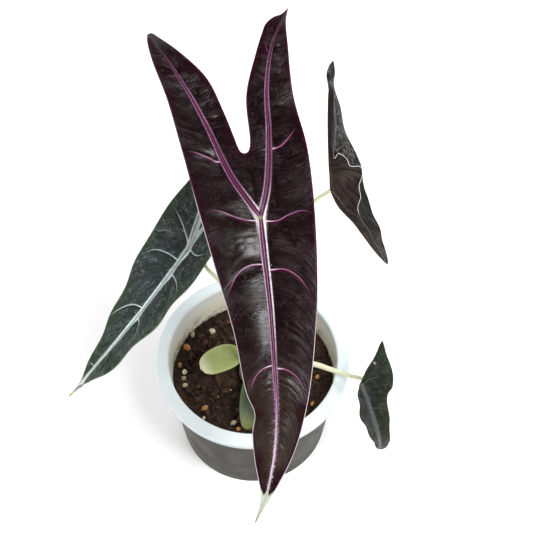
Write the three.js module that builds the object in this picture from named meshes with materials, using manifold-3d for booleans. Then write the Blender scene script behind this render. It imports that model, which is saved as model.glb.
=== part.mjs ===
// A potted black cobra alocasia: four long arrow-shaped leaves on thin stalks, a pale scale leaf and a
// short young leaf, all growing from one crown in a round plastic pot of coarse mix.
// Millimetres and degrees, +Z up. The origin is the centre of the pot's flat underside, and the large
// front leaf points towards -Y.
import * as THREE from 'three';
import { mergeVertices } from 'three/addons/utils/BufferGeometryUtils.js';
import Module from 'manifold-3d';

const wasm = await Module();
wasm.setup();

// Driving dimensions of the pot, the mix and the crown
const CLEARANCE = 0.3;
const RIM_RADIUS = 60;
const OPENING_RADIUS = 52;
const POT_HEIGHT = 83;
const LIP_DROP = 6.5;
const BODY_TOP_RADIUS = 54.5;
const BASE_RADIUS = 47.5;
const WALL = 1.8;
const FLOOR = 2;
const POT_SEGMENTS = 48;
const DRAIN_HOLES = 6;
const DRAIN_RADIUS = 3.5;
const DRAIN_CIRCLE = 30;
const DRAIN_SIDES = 12;
const MIX_LEVEL = 61;
const MIX_SWELL = 1.4;
const MIX_RINGS = 7;
const MIX_SEGMENTS = 40;
const GRANULES = 30;
const GRANULE_RADIUS = 2.9;
const GRANULE_SEED = 20;
const CROWN = { x: 1, y: 1, radius: 10, shoulder: 66, top: 72, topRadius: 7.5, bottom: 45, sides: 20 };

// Driving dimensions of the leaves and stalks
const BLADE_THICKNESS = 0.9;
const MARGIN_THICKNESS = 0.7;
const STALK_SIDES = 8;
const SOCKET_FLOOR = 60;

// The large front leaf. Outlines lie in the leaf's own sheet: across to the right, then ahead to the tip,
// measured from the point where the stalk joins. Each margin runs from the tip to the end of its lobe.
const FRONT_LEAF = {
  name: 'blade_front',
  color: 0x33201f,
  posture: { junction: [5.5, -14, 250], heading: 0, pitch: 27, droopAhead: 10, droopBehind: 8 },
  foldLeft: 6,
  foldRight: 6,
  rows: { ahead: 26, lobe: 18, fused: 6 },
  midrib: [[-3, 154], [3, 138], [7, 117], [8, 95], [7, 75], [5, 45], [2, 18], [0, 0]],
  sinus: [-8, -32.3],
  left: {
    margin: [[-3, 154], [0, 141], [-3, 120], [-4, 107], [-3, 97], [-7, 87], [-13, 58], [-22, 27], [-30, 0],
      [-38.3, -30], [-46.4, -58], [-55.3, -82], [-57.8, -91.5], [-57.8, -95.2]],
    shoulder: 8,
    rib: [[0, 0], [-6, -8], [-15, -21], [-27, -46], [-36, -63], [-48, -82], [-57.8, -95.2]],
    inner: [[-8, -32.3], [-9.8, -33], [-11.2, -35.3], [-13, -40], [-19, -55], [-27.3, -71.7], [-41.3, -86],
      [-52, -93.8], [-55.6, -96], [-57.8, -95.2]],
    laterals: [[0, 0], [24, 40], [74, 90], [-34, -33], [-83, -81]],
  },
  right: {
    margin: [[-3, 154], [2, 145], [9, 133], [17, 116], [23.6, 90], [27.5, 52], [28, 28], [27, 0],
      [23.5, -34], [16.5, -62], [13.9, -88], [12.9, -103], [14, -110]],
    shoulder: 7,
    rib: [[0, 0], [3, -13], [4, -26], [4, -45], [3, -66], [6, -90], [14, -110]],
    inner: [[-8, -32.3], [-6.5, -32.9], [-5.6, -35], [-5.3, -39], [-7.3, -62], [-2.8, -84], [0.4, -95.6],
      [2.6, -101.5], [6.8, -105.2], [10.5, -106.6], [14, -110]],
    laterals: [[0, -2], [26, 40], [75, 88], [-34, -44], [-71, -80]],
  },
  waves: { height: 1.3, length: 42 },
  pillow: 1.3,
  neck: 9,
  seatDrop: 0,
  ribDepth: 1.6,
};

// The left leaf, green with pale veins, hangs behind and below the front one
const LEFT_LEAF = {
  name: 'blade_left',
  color: 0x3a4340,
  posture: { junction: [-33.5, 3, 195], heading: -50, pitch: 35, droopAhead: 10, droopBehind: 8 },
  foldLeft: 4,
  foldRight: 28,
  rows: { ahead: 20, lobe: 12, fused: 4 },
  midrib: [[-7, 114], [-5, 104], [-3, 89], [0, 60], [1, 25], [0, 0]],
  sinus: [-5, -20],
  left: {
    margin: [[-7, 114], [-6.3, 105], [-7.6, 95], [-9.8, 79], [-13.4, 61], [-17.8, 38], [-22.7, 20],
      [-25.6, 3], [-26.8, -10], [-28, -30], [-30, -46], [-27, -60]],
    shoulder: 6,
    rib: [[0, 0], [-9, -20], [-17, -36], [-27, -60]],
    inner: [[-5, -20], [-9, -27], [-15, -42], [-27, -60]],
    laterals: [[8, 22], [42, 60], [88, 88], [-5, -14]],
  },
  right: {
    margin: [[-7, 114], [-4.8, 103.5], [-0.5, 96.6], [9.2, 82.5], [12.2, 66], [17, 50], [20, 27], [21, 14],
      [19, -4], [19, -25], [17, -42], [10, -60]],
    shoulder: 7,
    rib: [[0, 0], [-1, -15], [3, -38], [10, -60]],
    inner: [[-5, -20], [-4, -28], [0, -45], [10, -60]],
    laterals: [[0, -8], [16, 20], [46, 57]],
  },
  waves: { height: 1, length: 36 },
  pillow: 1.1,
  neck: 9,
  seatDrop: 0,
  ribDepth: 1.3,
};

// The right leaf is folded up along its midrib, so its rails are points in space: right, up the slope and
// towards the front, in a frame that leans back by LEAN and starts where the stalk joins.
const LEAN = 33.16;
const RIGHT_LEAF = {
  name: 'blade_right',
  color: 0x3b3230,
  posture: { junction: [42.6, 14.1, 235], lean: LEAN },
  foldLeft: 0,
  foldRight: 0,
  rows: { ahead: 18, lobe: 18, fused: 5 },
  midrib: [[34.6, -38.4, -58], [24.1, -29.5, -32], [16.4, -21.2, -14], [12.4, -16.4, -8], [6.9, -11.2, -3],
    [3.6, -7.3, -1], [0, 0, 0]],
  sinus: [-0.7, 16.6, 4],
  left: {
    margin: [[34.6, -38.4, -58], [24.5, -28.1, -22], [17.9, -19.5, 1], [12.4, -10, 11], [13.3, -4.6, 15],
      [12.7, 1, 17], [14.6, 6.2, 16], [13.6, 10.6, 18], [7.5, 10.2, 23], [5.7, 14, 23], [1.5, 16.7, 25],
      [-0.2, 14.1, 27], [-0.9, 20.9, 31], [-0.9, 33.7, 35], [-1.3, 45.5, 38], [-3.2, 49.5, 39]],
    shoulder: 5,
    rib: [[0, 0, 0], [-1.1, 9.9, 8], [-2.5, 29.1, 22], [-3, 41.6, 32], [-3.2, 49.5, 39]],
    inner: [[-0.7, 16.6, 4], [-1.4, 23.1, 9], [-2.2, 37.2, 22], [-3.2, 49.5, 39]],
    laterals: [[10, 22], [-8, -3]],
  },
  right: {
    margin: [[34.6, -38.4, -58], [33.5, -34.2, -49], [29.6, -26.8, -33], [26.6, -19.3, -21],
      [22.4, -10.5, -17], [18.1, 1.3, -15], [16.5, 13.3, -16], [14, 18.9, -17], [7.9, 33.6, -18],
      [4.1, 46.6, -12], [1.4, 55.8, -5], [1.2, 61, 0], [0.2, 66.3, 4]],
    shoulder: 5,
    rib: [[0, 0, 0], [1, 10, -1], [1.4, 20, -3], [1.6, 38, -5], [-0.6, 56, 0], [0.2, 66.3, 4]],
    inner: [[-0.7, 16.6, 4], [-0.5, 26, 5], [-0.6, 42, 5], [-2.4, 54.5, 4.5], [-3.2, 59.5, 4],
      [-1.6, 64.5, 4], [0.2, 66.3, 4]],
    laterals: [[12, 24], [-6, -14], [40, 50]],
  },
  waves: { height: 0.4, length: 24 },
  pillow: 0.8,
  neck: 0,
  seatDrop: 0.3,
  ribDepth: 0.6,
};

// The small low leaf hangs outside the pot, with its left half turned away and its tip curled under
const LOW_LEAF = {
  name: 'blade_low',
  color: 0x34372f,
  posture: { junction: [63.2, -36.2, 115], lean: LEAN },
  foldLeft: 0,
  foldRight: 0,
  rows: { ahead: 14, lobe: 10, fused: 3 },
  midrib: [[13.2, -41, -23], [12.3, -36, -14], [10.6, -29.3, -7], [6.2, -16.5, -1.5], [3.2, -8, 0],
    [0, 0, 0]],
  sinus: [2.6, 6.4, -2.5],
  left: {
    margin: [[13.2, -41, -23], [10.6, -39.8, -21], [8.4, -35.8, -17], [3.8, -27.1, -13], [0.9, -21.5, -12],
      [-0.6, -10.1, -10], [-0.7, -3.8, -8], [0.8, 1.5, -9], [4.5, 6, -12], [9, 11.6, -17],
      [13.4, 18.5, -20]],
    shoulder: 6,
    rib: [[0, 0, 0], [4, 4.5, -6], [9.8, 11.5, -12], [13.4, 18.5, -20]],
    inner: [[2.6, 6.4, -2.5], [7, 9, -6], [11, 14, -12], [13.4, 18.5, -20]],
    laterals: [[10, 16]],
  },
  right: {
    margin: [[13.2, -41, -23], [16.6, -39.8, -21], [18, -37, -17], [17.8, -31.5, -11], [17.2, -21.8, -6],
      [15.5, -8.8, -3], [15.8, -6, -2], [18.6, -2.4, -4], [19.2, 3.6, -4], [17.4, 10.5, -4],
      [14.5, 19.7, -5], [12.9, 24.6, -6]],
    shoulder: 7,
    rib: [[0, 0, 0], [4.6, 7.7, -0.5], [9.4, 16.5, -2.5], [12.9, 24.6, -6]],
    inner: [[2.6, 6.4, -2.5], [6.2, 12, -4], [8.3, 15.8, -4.5], [12.9, 24.6, -6]],
    laterals: [[1, -4], [14, 17]],
  },
  waves: { height: 0.5, length: 16 },
  pillow: 0.6,
  neck: 0,
  seatDrop: 1.8,
  ribDepth: 0.8,
};

// Stalks run from their sockets in the crown to the underside of their blades; radii are foot, middle, neck
const FRONT_STALK = {
  name: 'petiole_front',
  color: 0x8a8a58,
  path: [[1, -2.6, SOCKET_FLOOR], [1.2, -4, 90], [3.5, -9, 170], [5, -13, 225]],
  radii: [2.3, 2, 1.5],
};
const LEFT_STALK = {
  name: 'petiole_left',
  color: 0xdbdbb9,
  path: [[-3.4, 1.4, SOCKET_FLOOR], [-4.6, 0.5, 90], [-9, -2, 140], [-16.8, -3.1, 172], [-24.5, -1.7, 186]],
  radii: [2.2, 1.5, 0.95],
};
const RIGHT_STALK = {
  name: 'petiole_right',
  color: 0xc9cda0,
  path: [[3.4, 4.6, SOCKET_FLOOR], [5.4, 6, 95], [15, 10.5, 175], [25, 13, 208], [33.5, 14, 225]],
  radii: [2.2, 1.5, 1],
};
const LOW_STALK = {
  name: 'petiole_low',
  color: 0xe3dcc0,
  path: [[6, 0, SOCKET_FLOOR], [12, -1, 73], [24, -3, 80], [37, -6.5, 84.5], [48.3, -12.5, 88],
    [57.6, -18.5, 92.5], [67.4, -28.2, 104.5]],
  radii: [2.2, 1.8, 0.8],
};

// Short leaves at the crown: half widths go along the leaf, from its foot to its tip
const CATAPHYLL = {
  name: 'cataphyll',
  color: 0xb3be84,
  posture: { junction: [-9.1, 8.8, 69.7], heading: -60, pitch: -30, droopAhead: 140, roll: -24 },
  length: 28,
  halfWidths: [[0, 4], [0.12, 6.2], [0.3, 7.7], [0.55, 8], [0.8, 6.8], [0.94, 4.2], [1, 0]],
  trough: 14,
};
const YOUNG_LEAF = {
  name: 'young_leaf',
  color: 0x404a3b,
  posture: { junction: [1.5, -8.8, 69], heading: -8, pitch: -38, droopAhead: 195 },
  length: 38,
  halfWidths: [[0, 4.5], [0.3, 6.5], [0.6, 6.3], [0.85, 4.6], [0.96, 2.6], [1, 0]],
  trough: 24,
};

const radians = THREE.MathUtils.degToRad;

function toVector(point) {
  return new THREE.Vector3(...point);
}

// A smooth curve through the points, as a fine polyline
function smooth(points) {
  const curve = new THREE.CatmullRomCurve3(points.map(toVector), false, 'centripetal');
  return curve.getPoints(points.length * 24);
}

function runLengths(line) {
  const lengths = [0];
  for (let i = 1; i < line.length; i += 1) {
    lengths.push(lengths[i - 1] + line[i].distanceTo(line[i - 1]));
  }
  return lengths;
}

// The same line with count equal steps
function evenSteps(line, count) {
  const lengths = runLengths(line);
  const total = lengths[lengths.length - 1];
  const points = [];
  let k = 1;
  for (let i = 0; i <= count; i += 1) {
    const want = total * i / count;
    while (k < line.length - 1 && lengths[k] < want) k += 1;
    const share = (want - lengths[k - 1]) / (lengths[k] - lengths[k - 1]);
    points.push(line[k - 1].clone().lerp(line[k], share));
  }
  return points;
}

// A margin whose shoulder point faces the junction: equal steps on either side of that point
function marginSteps(points, shoulder, ahead, behind) {
  const line = smooth(points);
  const cut = Math.round((line.length - 1) * shoulder / (points.length - 1));
  const before = evenSteps(line.slice(0, cut + 1), ahead);
  const after = evenSteps(line.slice(cut), behind);
  return before.concat(after.slice(1));
}

// Places sheet points in space: the sheet starts at the junction, points down by its pitch and droops in
// an even arc ahead of the junction and behind it
function bentSheet({ junction, heading, pitch, droopAhead, droopBehind = 0, roll = 0 }) {
  const turn = radians(heading);
  const forward = new THREE.Vector3(Math.sin(turn), -Math.cos(turn), 0);
  const sideways = new THREE.Vector3(Math.cos(turn), Math.sin(turn), 0);
  const up = new THREE.Vector3(0, 0, 1);
  const start = radians(pitch);
  const rolled = radians(roll);
  return (p) => {
    const bend = radians(p.y >= 0 ? droopAhead : droopBehind) / 100;
    const angle = start + bend * p.y;
    const straight = Math.abs(bend) < 1e-6;
    const run = straight ? p.y * Math.cos(start) : (Math.sin(angle) - Math.sin(start)) / bend;
    const rise = straight ? -p.y * Math.sin(start) : (Math.cos(angle) - Math.cos(start)) / bend;
    const normal = forward.clone().multiplyScalar(Math.sin(angle)).addScaledVector(up, Math.cos(angle));
    const [level, tilt] = [Math.cos(rolled), Math.sin(rolled)];
    const across = sideways.clone().multiplyScalar(level).addScaledVector(normal, tilt);
    const above = normal.multiplyScalar(level).addScaledVector(sideways, -tilt);
    return toVector(junction)
      .addScaledVector(forward, run)
      .addScaledVector(up, rise)
      .addScaledVector(across, p.x)
      .addScaledVector(above, p.z);
  };
}

// Places rail points in space: the frame leans back about the X axis
function leaningFrame({ junction, lean }) {
  const axis = new THREE.Vector3(1, 0, 0);
  return (p) => p.clone().applyAxisAngle(axis, radians(lean)).add(toVector(junction));
}

// An open surface of shared points; a key names each point, so panels that meet use the same one
class Surface {
  constructor() {
    this.points = [];
    this.relief = [];
    this.ridge = [];
    this.thickness = [];
    this.triangles = [];
    this.index = new Map();
  }

  point(key, make) {
    if (!this.index.has(key)) {
      const made = make();
      this.index.set(key, this.points.length);
      this.points.push(made.place);
      this.relief.push(made.relief);
      this.ridge.push(made.ridge);
      this.thickness.push(made.thickness);
    }
    return this.index.get(key);
  }

  triangle(a, b, c, flip) {
    if (a === b || b === c || a === c) return;
    this.triangles.push(flip ? [a, c, b] : [a, b, c]);
  }

  quad(a, b, c, d, flip = false) {
    this.triangle(a, b, c, flip);
    this.triangle(a, c, d, flip);
  }

  normals() {
    const normals = this.points.map(() => new THREE.Vector3());
    for (const [a, b, c] of this.triangles) {
      const side = this.points[b].clone().sub(this.points[a]);
      const face = side.cross(this.points[c].clone().sub(this.points[a]));
      [a, b, c].forEach((i) => normals[i].add(face));
    }
    return normals.map((n) => n.normalize());
  }

  // A closed slab: the upper face carries the relief, and the lower face also carries the ridges
  slab() {
    const normals = this.normals();
    const count = this.points.length;
    const places = [];
    for (const side of [1, -1]) {
      this.points.forEach((p, i) => {
        const under = side > 0 ? 0 : this.ridge[i];
        const offset = this.relief[i] + side * this.thickness[i] / 2 - under;
        places.push(p.clone().addScaledVector(normals[i], offset));
      });
    }
    const faces = [];
    const edges = new Map();
    for (const [a, b, c] of this.triangles) {
      faces.push([a, b, c], [a + count, c + count, b + count]);
      [[a, b], [b, c], [c, a]].forEach(([from, to]) => edges.set(`${from} ${to}`, [from, to]));
    }
    for (const [from, to] of edges.values()) {
      if (edges.has(`${to} ${from}`)) continue;
      faces.push([to, from, from + count], [to, from + count, to + count]);
    }
    return meshGeometry(places, faces);
  }
}

function meshGeometry(places, faces) {
  const geometry = new THREE.BufferGeometry();
  geometry.setAttribute('position', new THREE.Float32BufferAttribute(places.flatMap((p) => p.toArray()), 3));
  geometry.setIndex(faces.flat());
  return geometry;
}

// Swelling between the side veins, and waves that grow towards the margin
function bladeRelief(leaf, side, station, across) {
  let swell = 1;
  for (const [root, end] of side.laterals) {
    const gap = station - (root + (end - root) * across * across);
    swell *= 1 - Math.exp(-gap * gap / 16);
  }
  const pillow = leaf.pillow * Math.sin(Math.PI * across) * swell;
  const wave = leaf.waves.height * across * across * Math.sin(2 * Math.PI * station / leaf.waves.length);
  return pillow + wave;
}

const OUTER_COLUMNS = [0, 0.1, 0.32, 0.56, 0.8, 1];
const INNER_COLUMNS = [0, 0.2, 0.6, 1];
const RIDGE_HALF_WIDTH = 1.6;

// One arrow-shaped blade: panels between each rib and its margins share the points of the ribs
function bladeSurface(leaf) {
  const surface = new Surface();
  const { ahead, lobe, fused } = leaf.rows;
  const place = leaf.posture.lean === undefined ? bentSheet(leaf.posture) : leaningFrame(leaf.posture);
  const midribLine = smooth(leaf.midrib);
  const midrib = evenSteps(midribLine, ahead);
  const reach = runLengths(midribLine).pop();
  const centre = evenSteps([toVector([0, 0, 0]), toVector(leaf.sinus)], fused);
  const halves = [
    { side: leaf.left, fold: leaf.foldLeft, name: 'left', flip: false },
    { side: leaf.right, fold: leaf.foldRight, name: 'right', flip: true },
  ];
  for (const { side, fold, name, flip } of halves) {
    const lobeLine = smooth(side.rib);
    const lobeReach = runLengths(lobeLine).pop();
    const rib = midrib.concat(evenSteps(lobeLine, lobe).slice(1));
    const margin = marginSteps(side.margin, side.shoulder, ahead, lobe);
    const inner = centre.concat(evenSteps(smooth(side.inner), lobe - fused).slice(1));
    const last = ahead + lobe;
    const station = (i) => (i <= ahead ? reach * (1 - i / ahead) : -lobeReach * (i - ahead) / lobe);
    const lift = Math.tan(radians(fold));

    const at = (i, to, across, inside) => {
      const width = rib[i].distanceTo(to);
      const point = rib[i].clone().lerp(to, across);
      point.z += inside ? 0 : lift * width * across;
      const fade = 1 - 0.7 * Math.abs(station(i)) / (i <= ahead ? reach : lobeReach);
      const nearness = Math.exp(-((across * width / RIDGE_HALF_WIDTH) ** 2));
      return {
        place: place(point),
        relief: bladeRelief(leaf, inside ? { laterals: [] } : side, station(i), across) * (inside ? 0.5 : 1),
        ridge: leaf.ribDepth * fade * nearness,
        thickness: THREE.MathUtils.lerp(BLADE_THICKNESS, MARGIN_THICKNESS, across),
      };
    };
    const ribKey = (i) => {
      if (i <= ahead) return `rib ${i}`;
      return `${name} rib ${i}`;
    };
    const outer = (i, column) => {
      const joined = column === 0 || i === 0 || i === last;
      const key = joined ? ribKey(i) : `${name} outer ${i} ${column}`;
      return surface.point(key, () => at(i, margin[i], joined ? 0 : OUTER_COLUMNS[column], false));
    };
    const inward = (i, column) => {
      const joined = column === 0 || i === ahead || i === last;
      const shared = column === INNER_COLUMNS.length - 1 && i <= ahead + fused;
      const open = shared ? `centre ${i}` : `${name} inner ${i} ${column}`;
      const key = joined ? ribKey(i) : open;
      return surface.point(key, () => at(i, inner[i - ahead], joined ? 0 : INNER_COLUMNS[column], true));
    };
    for (let i = 0; i < last; i += 1) {
      for (let c = 0; c < OUTER_COLUMNS.length - 1; c += 1) {
        surface.quad(outer(i, c), outer(i + 1, c), outer(i + 1, c + 1), outer(i, c + 1), flip);
      }
    }
    for (let i = ahead; i < last; i += 1) {
      for (let c = 0; c < INNER_COLUMNS.length - 1; c += 1) {
        surface.quad(inward(i, c), inward(i, c + 1), inward(i + 1, c + 1), inward(i + 1, c), flip);
      }
    }
  }
  return surface;
}

// Where a stalk meets the underside of its blade, and the way that the blade faces there
function stalkSeat(leaf, surface) {
  const junction = surface.index.get(`rib ${leaf.rows.ahead}`);
  const normal = surface.normals()[junction];
  const depth = BLADE_THICKNESS / 2 + leaf.ribDepth + CLEARANCE + leaf.seatDrop;
  return { seat: surface.points[junction].clone().addScaledVector(normal, -depth), normal };
}

// A short leaf: a lens-shaped trough that narrows to its tip
function shortLeafSurface(leaf) {
  const surface = new Surface();
  const rows = 12;
  const columns = 6;
  const place = bentSheet(leaf.posture);
  const outline = leaf.halfWidths.map(([share, width]) => [share * leaf.length, width]);
  const widths = evenSteps(smooth(outline), rows);
  const slope = Math.tan(radians(leaf.trough));
  const at = (i, c) => {
    const across = i === rows ? 0 : 2 * c / columns - 1;
    const { x: along, y: half } = widths[i];
    const point = new THREE.Vector3(across * half, along, across * across * half * slope);
    const key = i === rows ? 'tip' : `${i} ${c}`;
    const thickness = 1.8 - Math.abs(across);
    return surface.point(key, () => ({ place: place(point), relief: 0, ridge: 0, thickness }));
  };
  for (let i = 0; i < rows; i += 1) {
    for (let c = 0; c < columns; c += 1) {
      surface.quad(at(i, c), at(i + 1, c), at(i + 1, c + 1), at(i, c + 1));
    }
  }
  return surface;
}

// A round tapering stalk along a smooth curve, with flat ends; its socket is the same form, grown all round
function stalkGeometry(path, radii, grow = 0) {
  const steps = path.length * 4;
  const curve = new THREE.CatmullRomCurve3(path, false, 'centripetal');
  const frames = curve.computeFrenetFrames(steps, false);
  const taper = new THREE.QuadraticBezierCurve(...radii.map((r, i) => new THREE.Vector2(i / 2, r)));
  const places = [];
  const faces = [];
  for (let i = 0; i <= steps; i += 1) {
    const middle = curve.getPointAt(i / steps);
    if (i === 0) middle.addScaledVector(frames.tangents[0], -grow);
    const radius = taper.getPoint(i / steps).y + grow;
    for (let s = 0; s < STALK_SIDES; s += 1) {
      const angle = 2 * Math.PI * s / STALK_SIDES;
      const spoke = frames.normals[i].clone().multiplyScalar(Math.cos(angle) * radius);
      places.push(middle.clone().add(spoke).addScaledVector(frames.binormals[i], Math.sin(angle) * radius));
      const next = (s + 1) % STALK_SIDES;
      if (i < steps) {
        const [a, b] = [i * STALK_SIDES + s, i * STALK_SIDES + next];
        faces.push([a, b, b + STALK_SIDES], [a, b + STALK_SIDES, a + STALK_SIDES]);
      }
    }
  }
  const end = steps * STALK_SIDES;
  for (let s = 2; s < STALK_SIDES; s += 1) {
    faces.push([0, s, s - 1]);
    faces.push([end, end + s - 1, end + s]);
  }
  return meshGeometry(places, faces);
}

// Closed meshes become solids for cutting and joining, and come back as geometry
function toSolid(geometry) {
  const bare = geometry.clone();
  bare.deleteAttribute('normal');
  bare.deleteAttribute('uv');
  const merged = mergeVertices(bare, 1e-4);
  const corners = Array.from(merged.index.array);
  const triangles = [];
  for (let i = 0; i < corners.length; i += 3) {
    const [a, b, c] = corners.slice(i, i + 3);
    if (a !== b && b !== c && a !== c) triangles.push(a, b, c);
  }
  return new wasm.Manifold(new wasm.Mesh({
    numProp: 3,
    vertProperties: new Float32Array(merged.attributes.position.array),
    triVerts: new Uint32Array(triangles),
  }));
}

function fromSolid(solid) {
  const { vertProperties, triVerts } = solid.getMesh();
  const geometry = new THREE.BufferGeometry();
  geometry.setAttribute('position', new THREE.Float32BufferAttribute(vertProperties, 3));
  geometry.setIndex(Array.from(triVerts));
  return geometry;
}

// A turned profile: LatheGeometry turns about Y, so the part is stood up on Z
function turned(profile, segments) {
  const points = profile.map(([radius, height]) => new THREE.Vector2(radius, height));
  return new THREE.LatheGeometry(points, segments).rotateX(Math.PI / 2);
}

function potGeometry() {
  const lipUnder = POT_HEIGHT - LIP_DROP;
  const innerTop = POT_HEIGHT - LIP_DROP;
  const profile = [
    [0, 0], [BASE_RADIUS - 1, 0], [BASE_RADIUS, 1], [BODY_TOP_RADIUS, lipUnder],
    [RIM_RADIUS - 0.8, lipUnder], [RIM_RADIUS, lipUnder + 1], [RIM_RADIUS, POT_HEIGHT - 2.2],
    [RIM_RADIUS - 0.7, POT_HEIGHT - 0.7], [RIM_RADIUS - 2.2, POT_HEIGHT],
    [OPENING_RADIUS + 1.6, POT_HEIGHT], [OPENING_RADIUS + 0.4, POT_HEIGHT - 0.6],
    [OPENING_RADIUS, POT_HEIGHT - 2], [OPENING_RADIUS, innerTop], [BASE_RADIUS - WALL, FLOOR + 1],
    [BASE_RADIUS - WALL - 1, FLOOR], [0, FLOOR],
  ];
  let solid = toSolid(turned(profile, POT_SEGMENTS));
  for (let i = 0; i < DRAIN_HOLES; i += 1) {
    const angle = 2 * Math.PI * i / DRAIN_HOLES;
    const hole = new THREE.CylinderGeometry(DRAIN_RADIUS, DRAIN_RADIUS, FLOOR * 3, DRAIN_SIDES);
    hole.rotateX(Math.PI / 2).translate(DRAIN_CIRCLE * Math.cos(angle), DRAIN_CIRCLE * Math.sin(angle), 0);
    solid = solid.subtract(toSolid(hole));
  }
  return fromSolid(solid);
}

// The inner wall's radius at a height below the rim's straight band
function innerRadius(height) {
  const share = (height - FLOOR - 1) / (POT_HEIGHT - LIP_DROP - FLOOR - 1);
  return THREE.MathUtils.lerp(BASE_RADIUS - WALL, OPENING_RADIUS, share);
}

function mixHeight(x, y) {
  const rolling = Math.sin(x * 0.11 + 1.3) * Math.cos(y * 0.13) + 0.5 * Math.sin(x * 0.31 - y * 0.27);
  return MIX_LEVEL + MIX_SWELL * rolling + 0.6 * Math.sin(x * 0.7) * Math.sin(y * 0.8 + 1);
}

// Repeatable draws between 0 and 1
function seededDraws(seed) {
  let state = seed;
  return () => {
    state = (state * 16807) % 2147483647;
    return state / 2147483647;
  };
}

function mixGeometry() {
  const places = [new THREE.Vector3(0, 0, mixHeight(0, 0))];
  const faces = [];
  const brim = innerRadius(MIX_LEVEL - 4) - CLEARANCE;
  const ring = (r) => 1 + r * MIX_SEGMENTS;
  for (let r = 0; r < MIX_RINGS; r += 1) {
    const radius = brim * (r + 1) / MIX_RINGS;
    for (let s = 0; s < MIX_SEGMENTS; s += 1) {
      const angle = 2 * Math.PI * s / MIX_SEGMENTS;
      const [x, y] = [radius * Math.cos(angle), radius * Math.sin(angle)];
      places.push(new THREE.Vector3(x, y, mixHeight(x, y)));
    }
  }
  const bottomRadius = innerRadius(FLOOR + CLEARANCE + 1) - CLEARANCE - 1;
  for (let s = 0; s < MIX_SEGMENTS; s += 1) {
    const angle = 2 * Math.PI * s / MIX_SEGMENTS;
    const [x, y] = [bottomRadius * Math.cos(angle), bottomRadius * Math.sin(angle)];
    places.push(new THREE.Vector3(x, y, FLOOR + CLEARANCE));
  }
  const foot = places.length;
  places.push(new THREE.Vector3(0, 0, FLOOR + CLEARANCE));
  for (let s = 0; s < MIX_SEGMENTS; s += 1) {
    const next = (s + 1) % MIX_SEGMENTS;
    faces.push([0, ring(0) + s, ring(0) + next]);
    for (let r = 0; r < MIX_RINGS; r += 1) {
      const [a, b] = [ring(r) + s, ring(r) + next];
      faces.push([a, a + MIX_SEGMENTS, b + MIX_SEGMENTS], [a, b + MIX_SEGMENTS, b]);
    }
    faces.push([ring(MIX_RINGS) + s, foot, ring(MIX_RINGS) + next]);
  }
  let solid = toSolid(meshGeometry(places, faces));
  const draw = seededDraws(GRANULE_SEED);
  for (let i = 0; i < GRANULES; i += 1) {
    const distance = 14 + (brim - 19) * Math.sqrt(draw());
    const angle = 2 * Math.PI * draw();
    const [x, y] = [distance * Math.cos(angle), distance * Math.sin(angle)];
    const size = GRANULE_RADIUS * (0.75 + 0.5 * draw());
    const granule = new THREE.IcosahedronGeometry(size, 0);
    granule.rotateX(3 * draw()).rotateY(3 * draw()).scale(1, 0.85, 0.75);
    granule.translate(x, y, mixHeight(x, y) + 0.35 * size);
    solid = solid.add(toSolid(granule));
  }
  const holeRadius = CROWN.radius + CLEARANCE;
  const hole = new THREE.CylinderGeometry(holeRadius, holeRadius, POT_HEIGHT, CROWN.sides);
  hole.rotateX(Math.PI / 2).translate(CROWN.x, CROWN.y, CROWN.bottom - CLEARANCE + POT_HEIGHT / 2);
  return fromSolid(solid.subtract(toSolid(hole)));
}

function crownGeometry(stalks) {
  const profile = [[0, CROWN.bottom], [CROWN.radius, CROWN.bottom], [CROWN.radius, CROWN.shoulder],
    [CROWN.radius - 0.9, CROWN.shoulder + 3], [CROWN.topRadius, CROWN.top], [0, CROWN.top]];
  let solid = toSolid(turned(profile, CROWN.sides).translate(CROWN.x, CROWN.y, 0));
  const grow = CLEARANCE / Math.cos(Math.PI / STALK_SIDES);
  for (const { path, radii } of stalks) {
    solid = solid.subtract(toSolid(stalkGeometry(path, radii, grow)));
  }
  return fromSolid(solid);
}

function namedMesh(name, geometry, color, roughness, metalness = 0) {
  const material = new THREE.MeshStandardMaterial({ color, roughness, metalness });
  const mesh = new THREE.Mesh(geometry, material);
  mesh.name = name;
  return mesh;
}

// Each large leaf gives its blade and a stalk that bends into the blade's underside
function largeLeaf(leaf, stalk) {
  const surface = bladeSurface(leaf);
  const { seat, normal } = stalkSeat(leaf, surface);
  const neck = leaf.neck > 0 ? [seat.clone().addScaledVector(normal, -leaf.neck)] : [];
  const path = [...stalk.path.map(toVector), ...neck, seat];
  return {
    blade: namedMesh(leaf.name, surface.slab(), leaf.color, 0.35),
    stalk: namedMesh(stalk.name, stalkGeometry(path, stalk.radii), stalk.color, 0.5),
    route: { path, radii: stalk.radii },
  };
}

const plant = new THREE.Group();
const leaves = [
  largeLeaf(FRONT_LEAF, FRONT_STALK),
  largeLeaf(LEFT_LEAF, LEFT_STALK),
  largeLeaf(RIGHT_LEAF, RIGHT_STALK),
  largeLeaf(LOW_LEAF, LOW_STALK),
];
plant.add(namedMesh('pot', potGeometry(), 0xeaf0ee, 0.4));
plant.add(namedMesh('potting_mix', mixGeometry(), 0x2b1d13, 0.95));
plant.add(namedMesh('crown', crownGeometry(leaves.map((leaf) => leaf.route)), 0x9a9468, 0.7));
for (const leaf of leaves) {
  plant.add(leaf.blade);
  plant.add(leaf.stalk);
}
for (const leaf of [CATAPHYLL, YOUNG_LEAF]) {
  plant.add(namedMesh(leaf.name, shortLeafSurface(leaf).slab(), leaf.color, 0.45));
}

export default plant;
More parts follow.
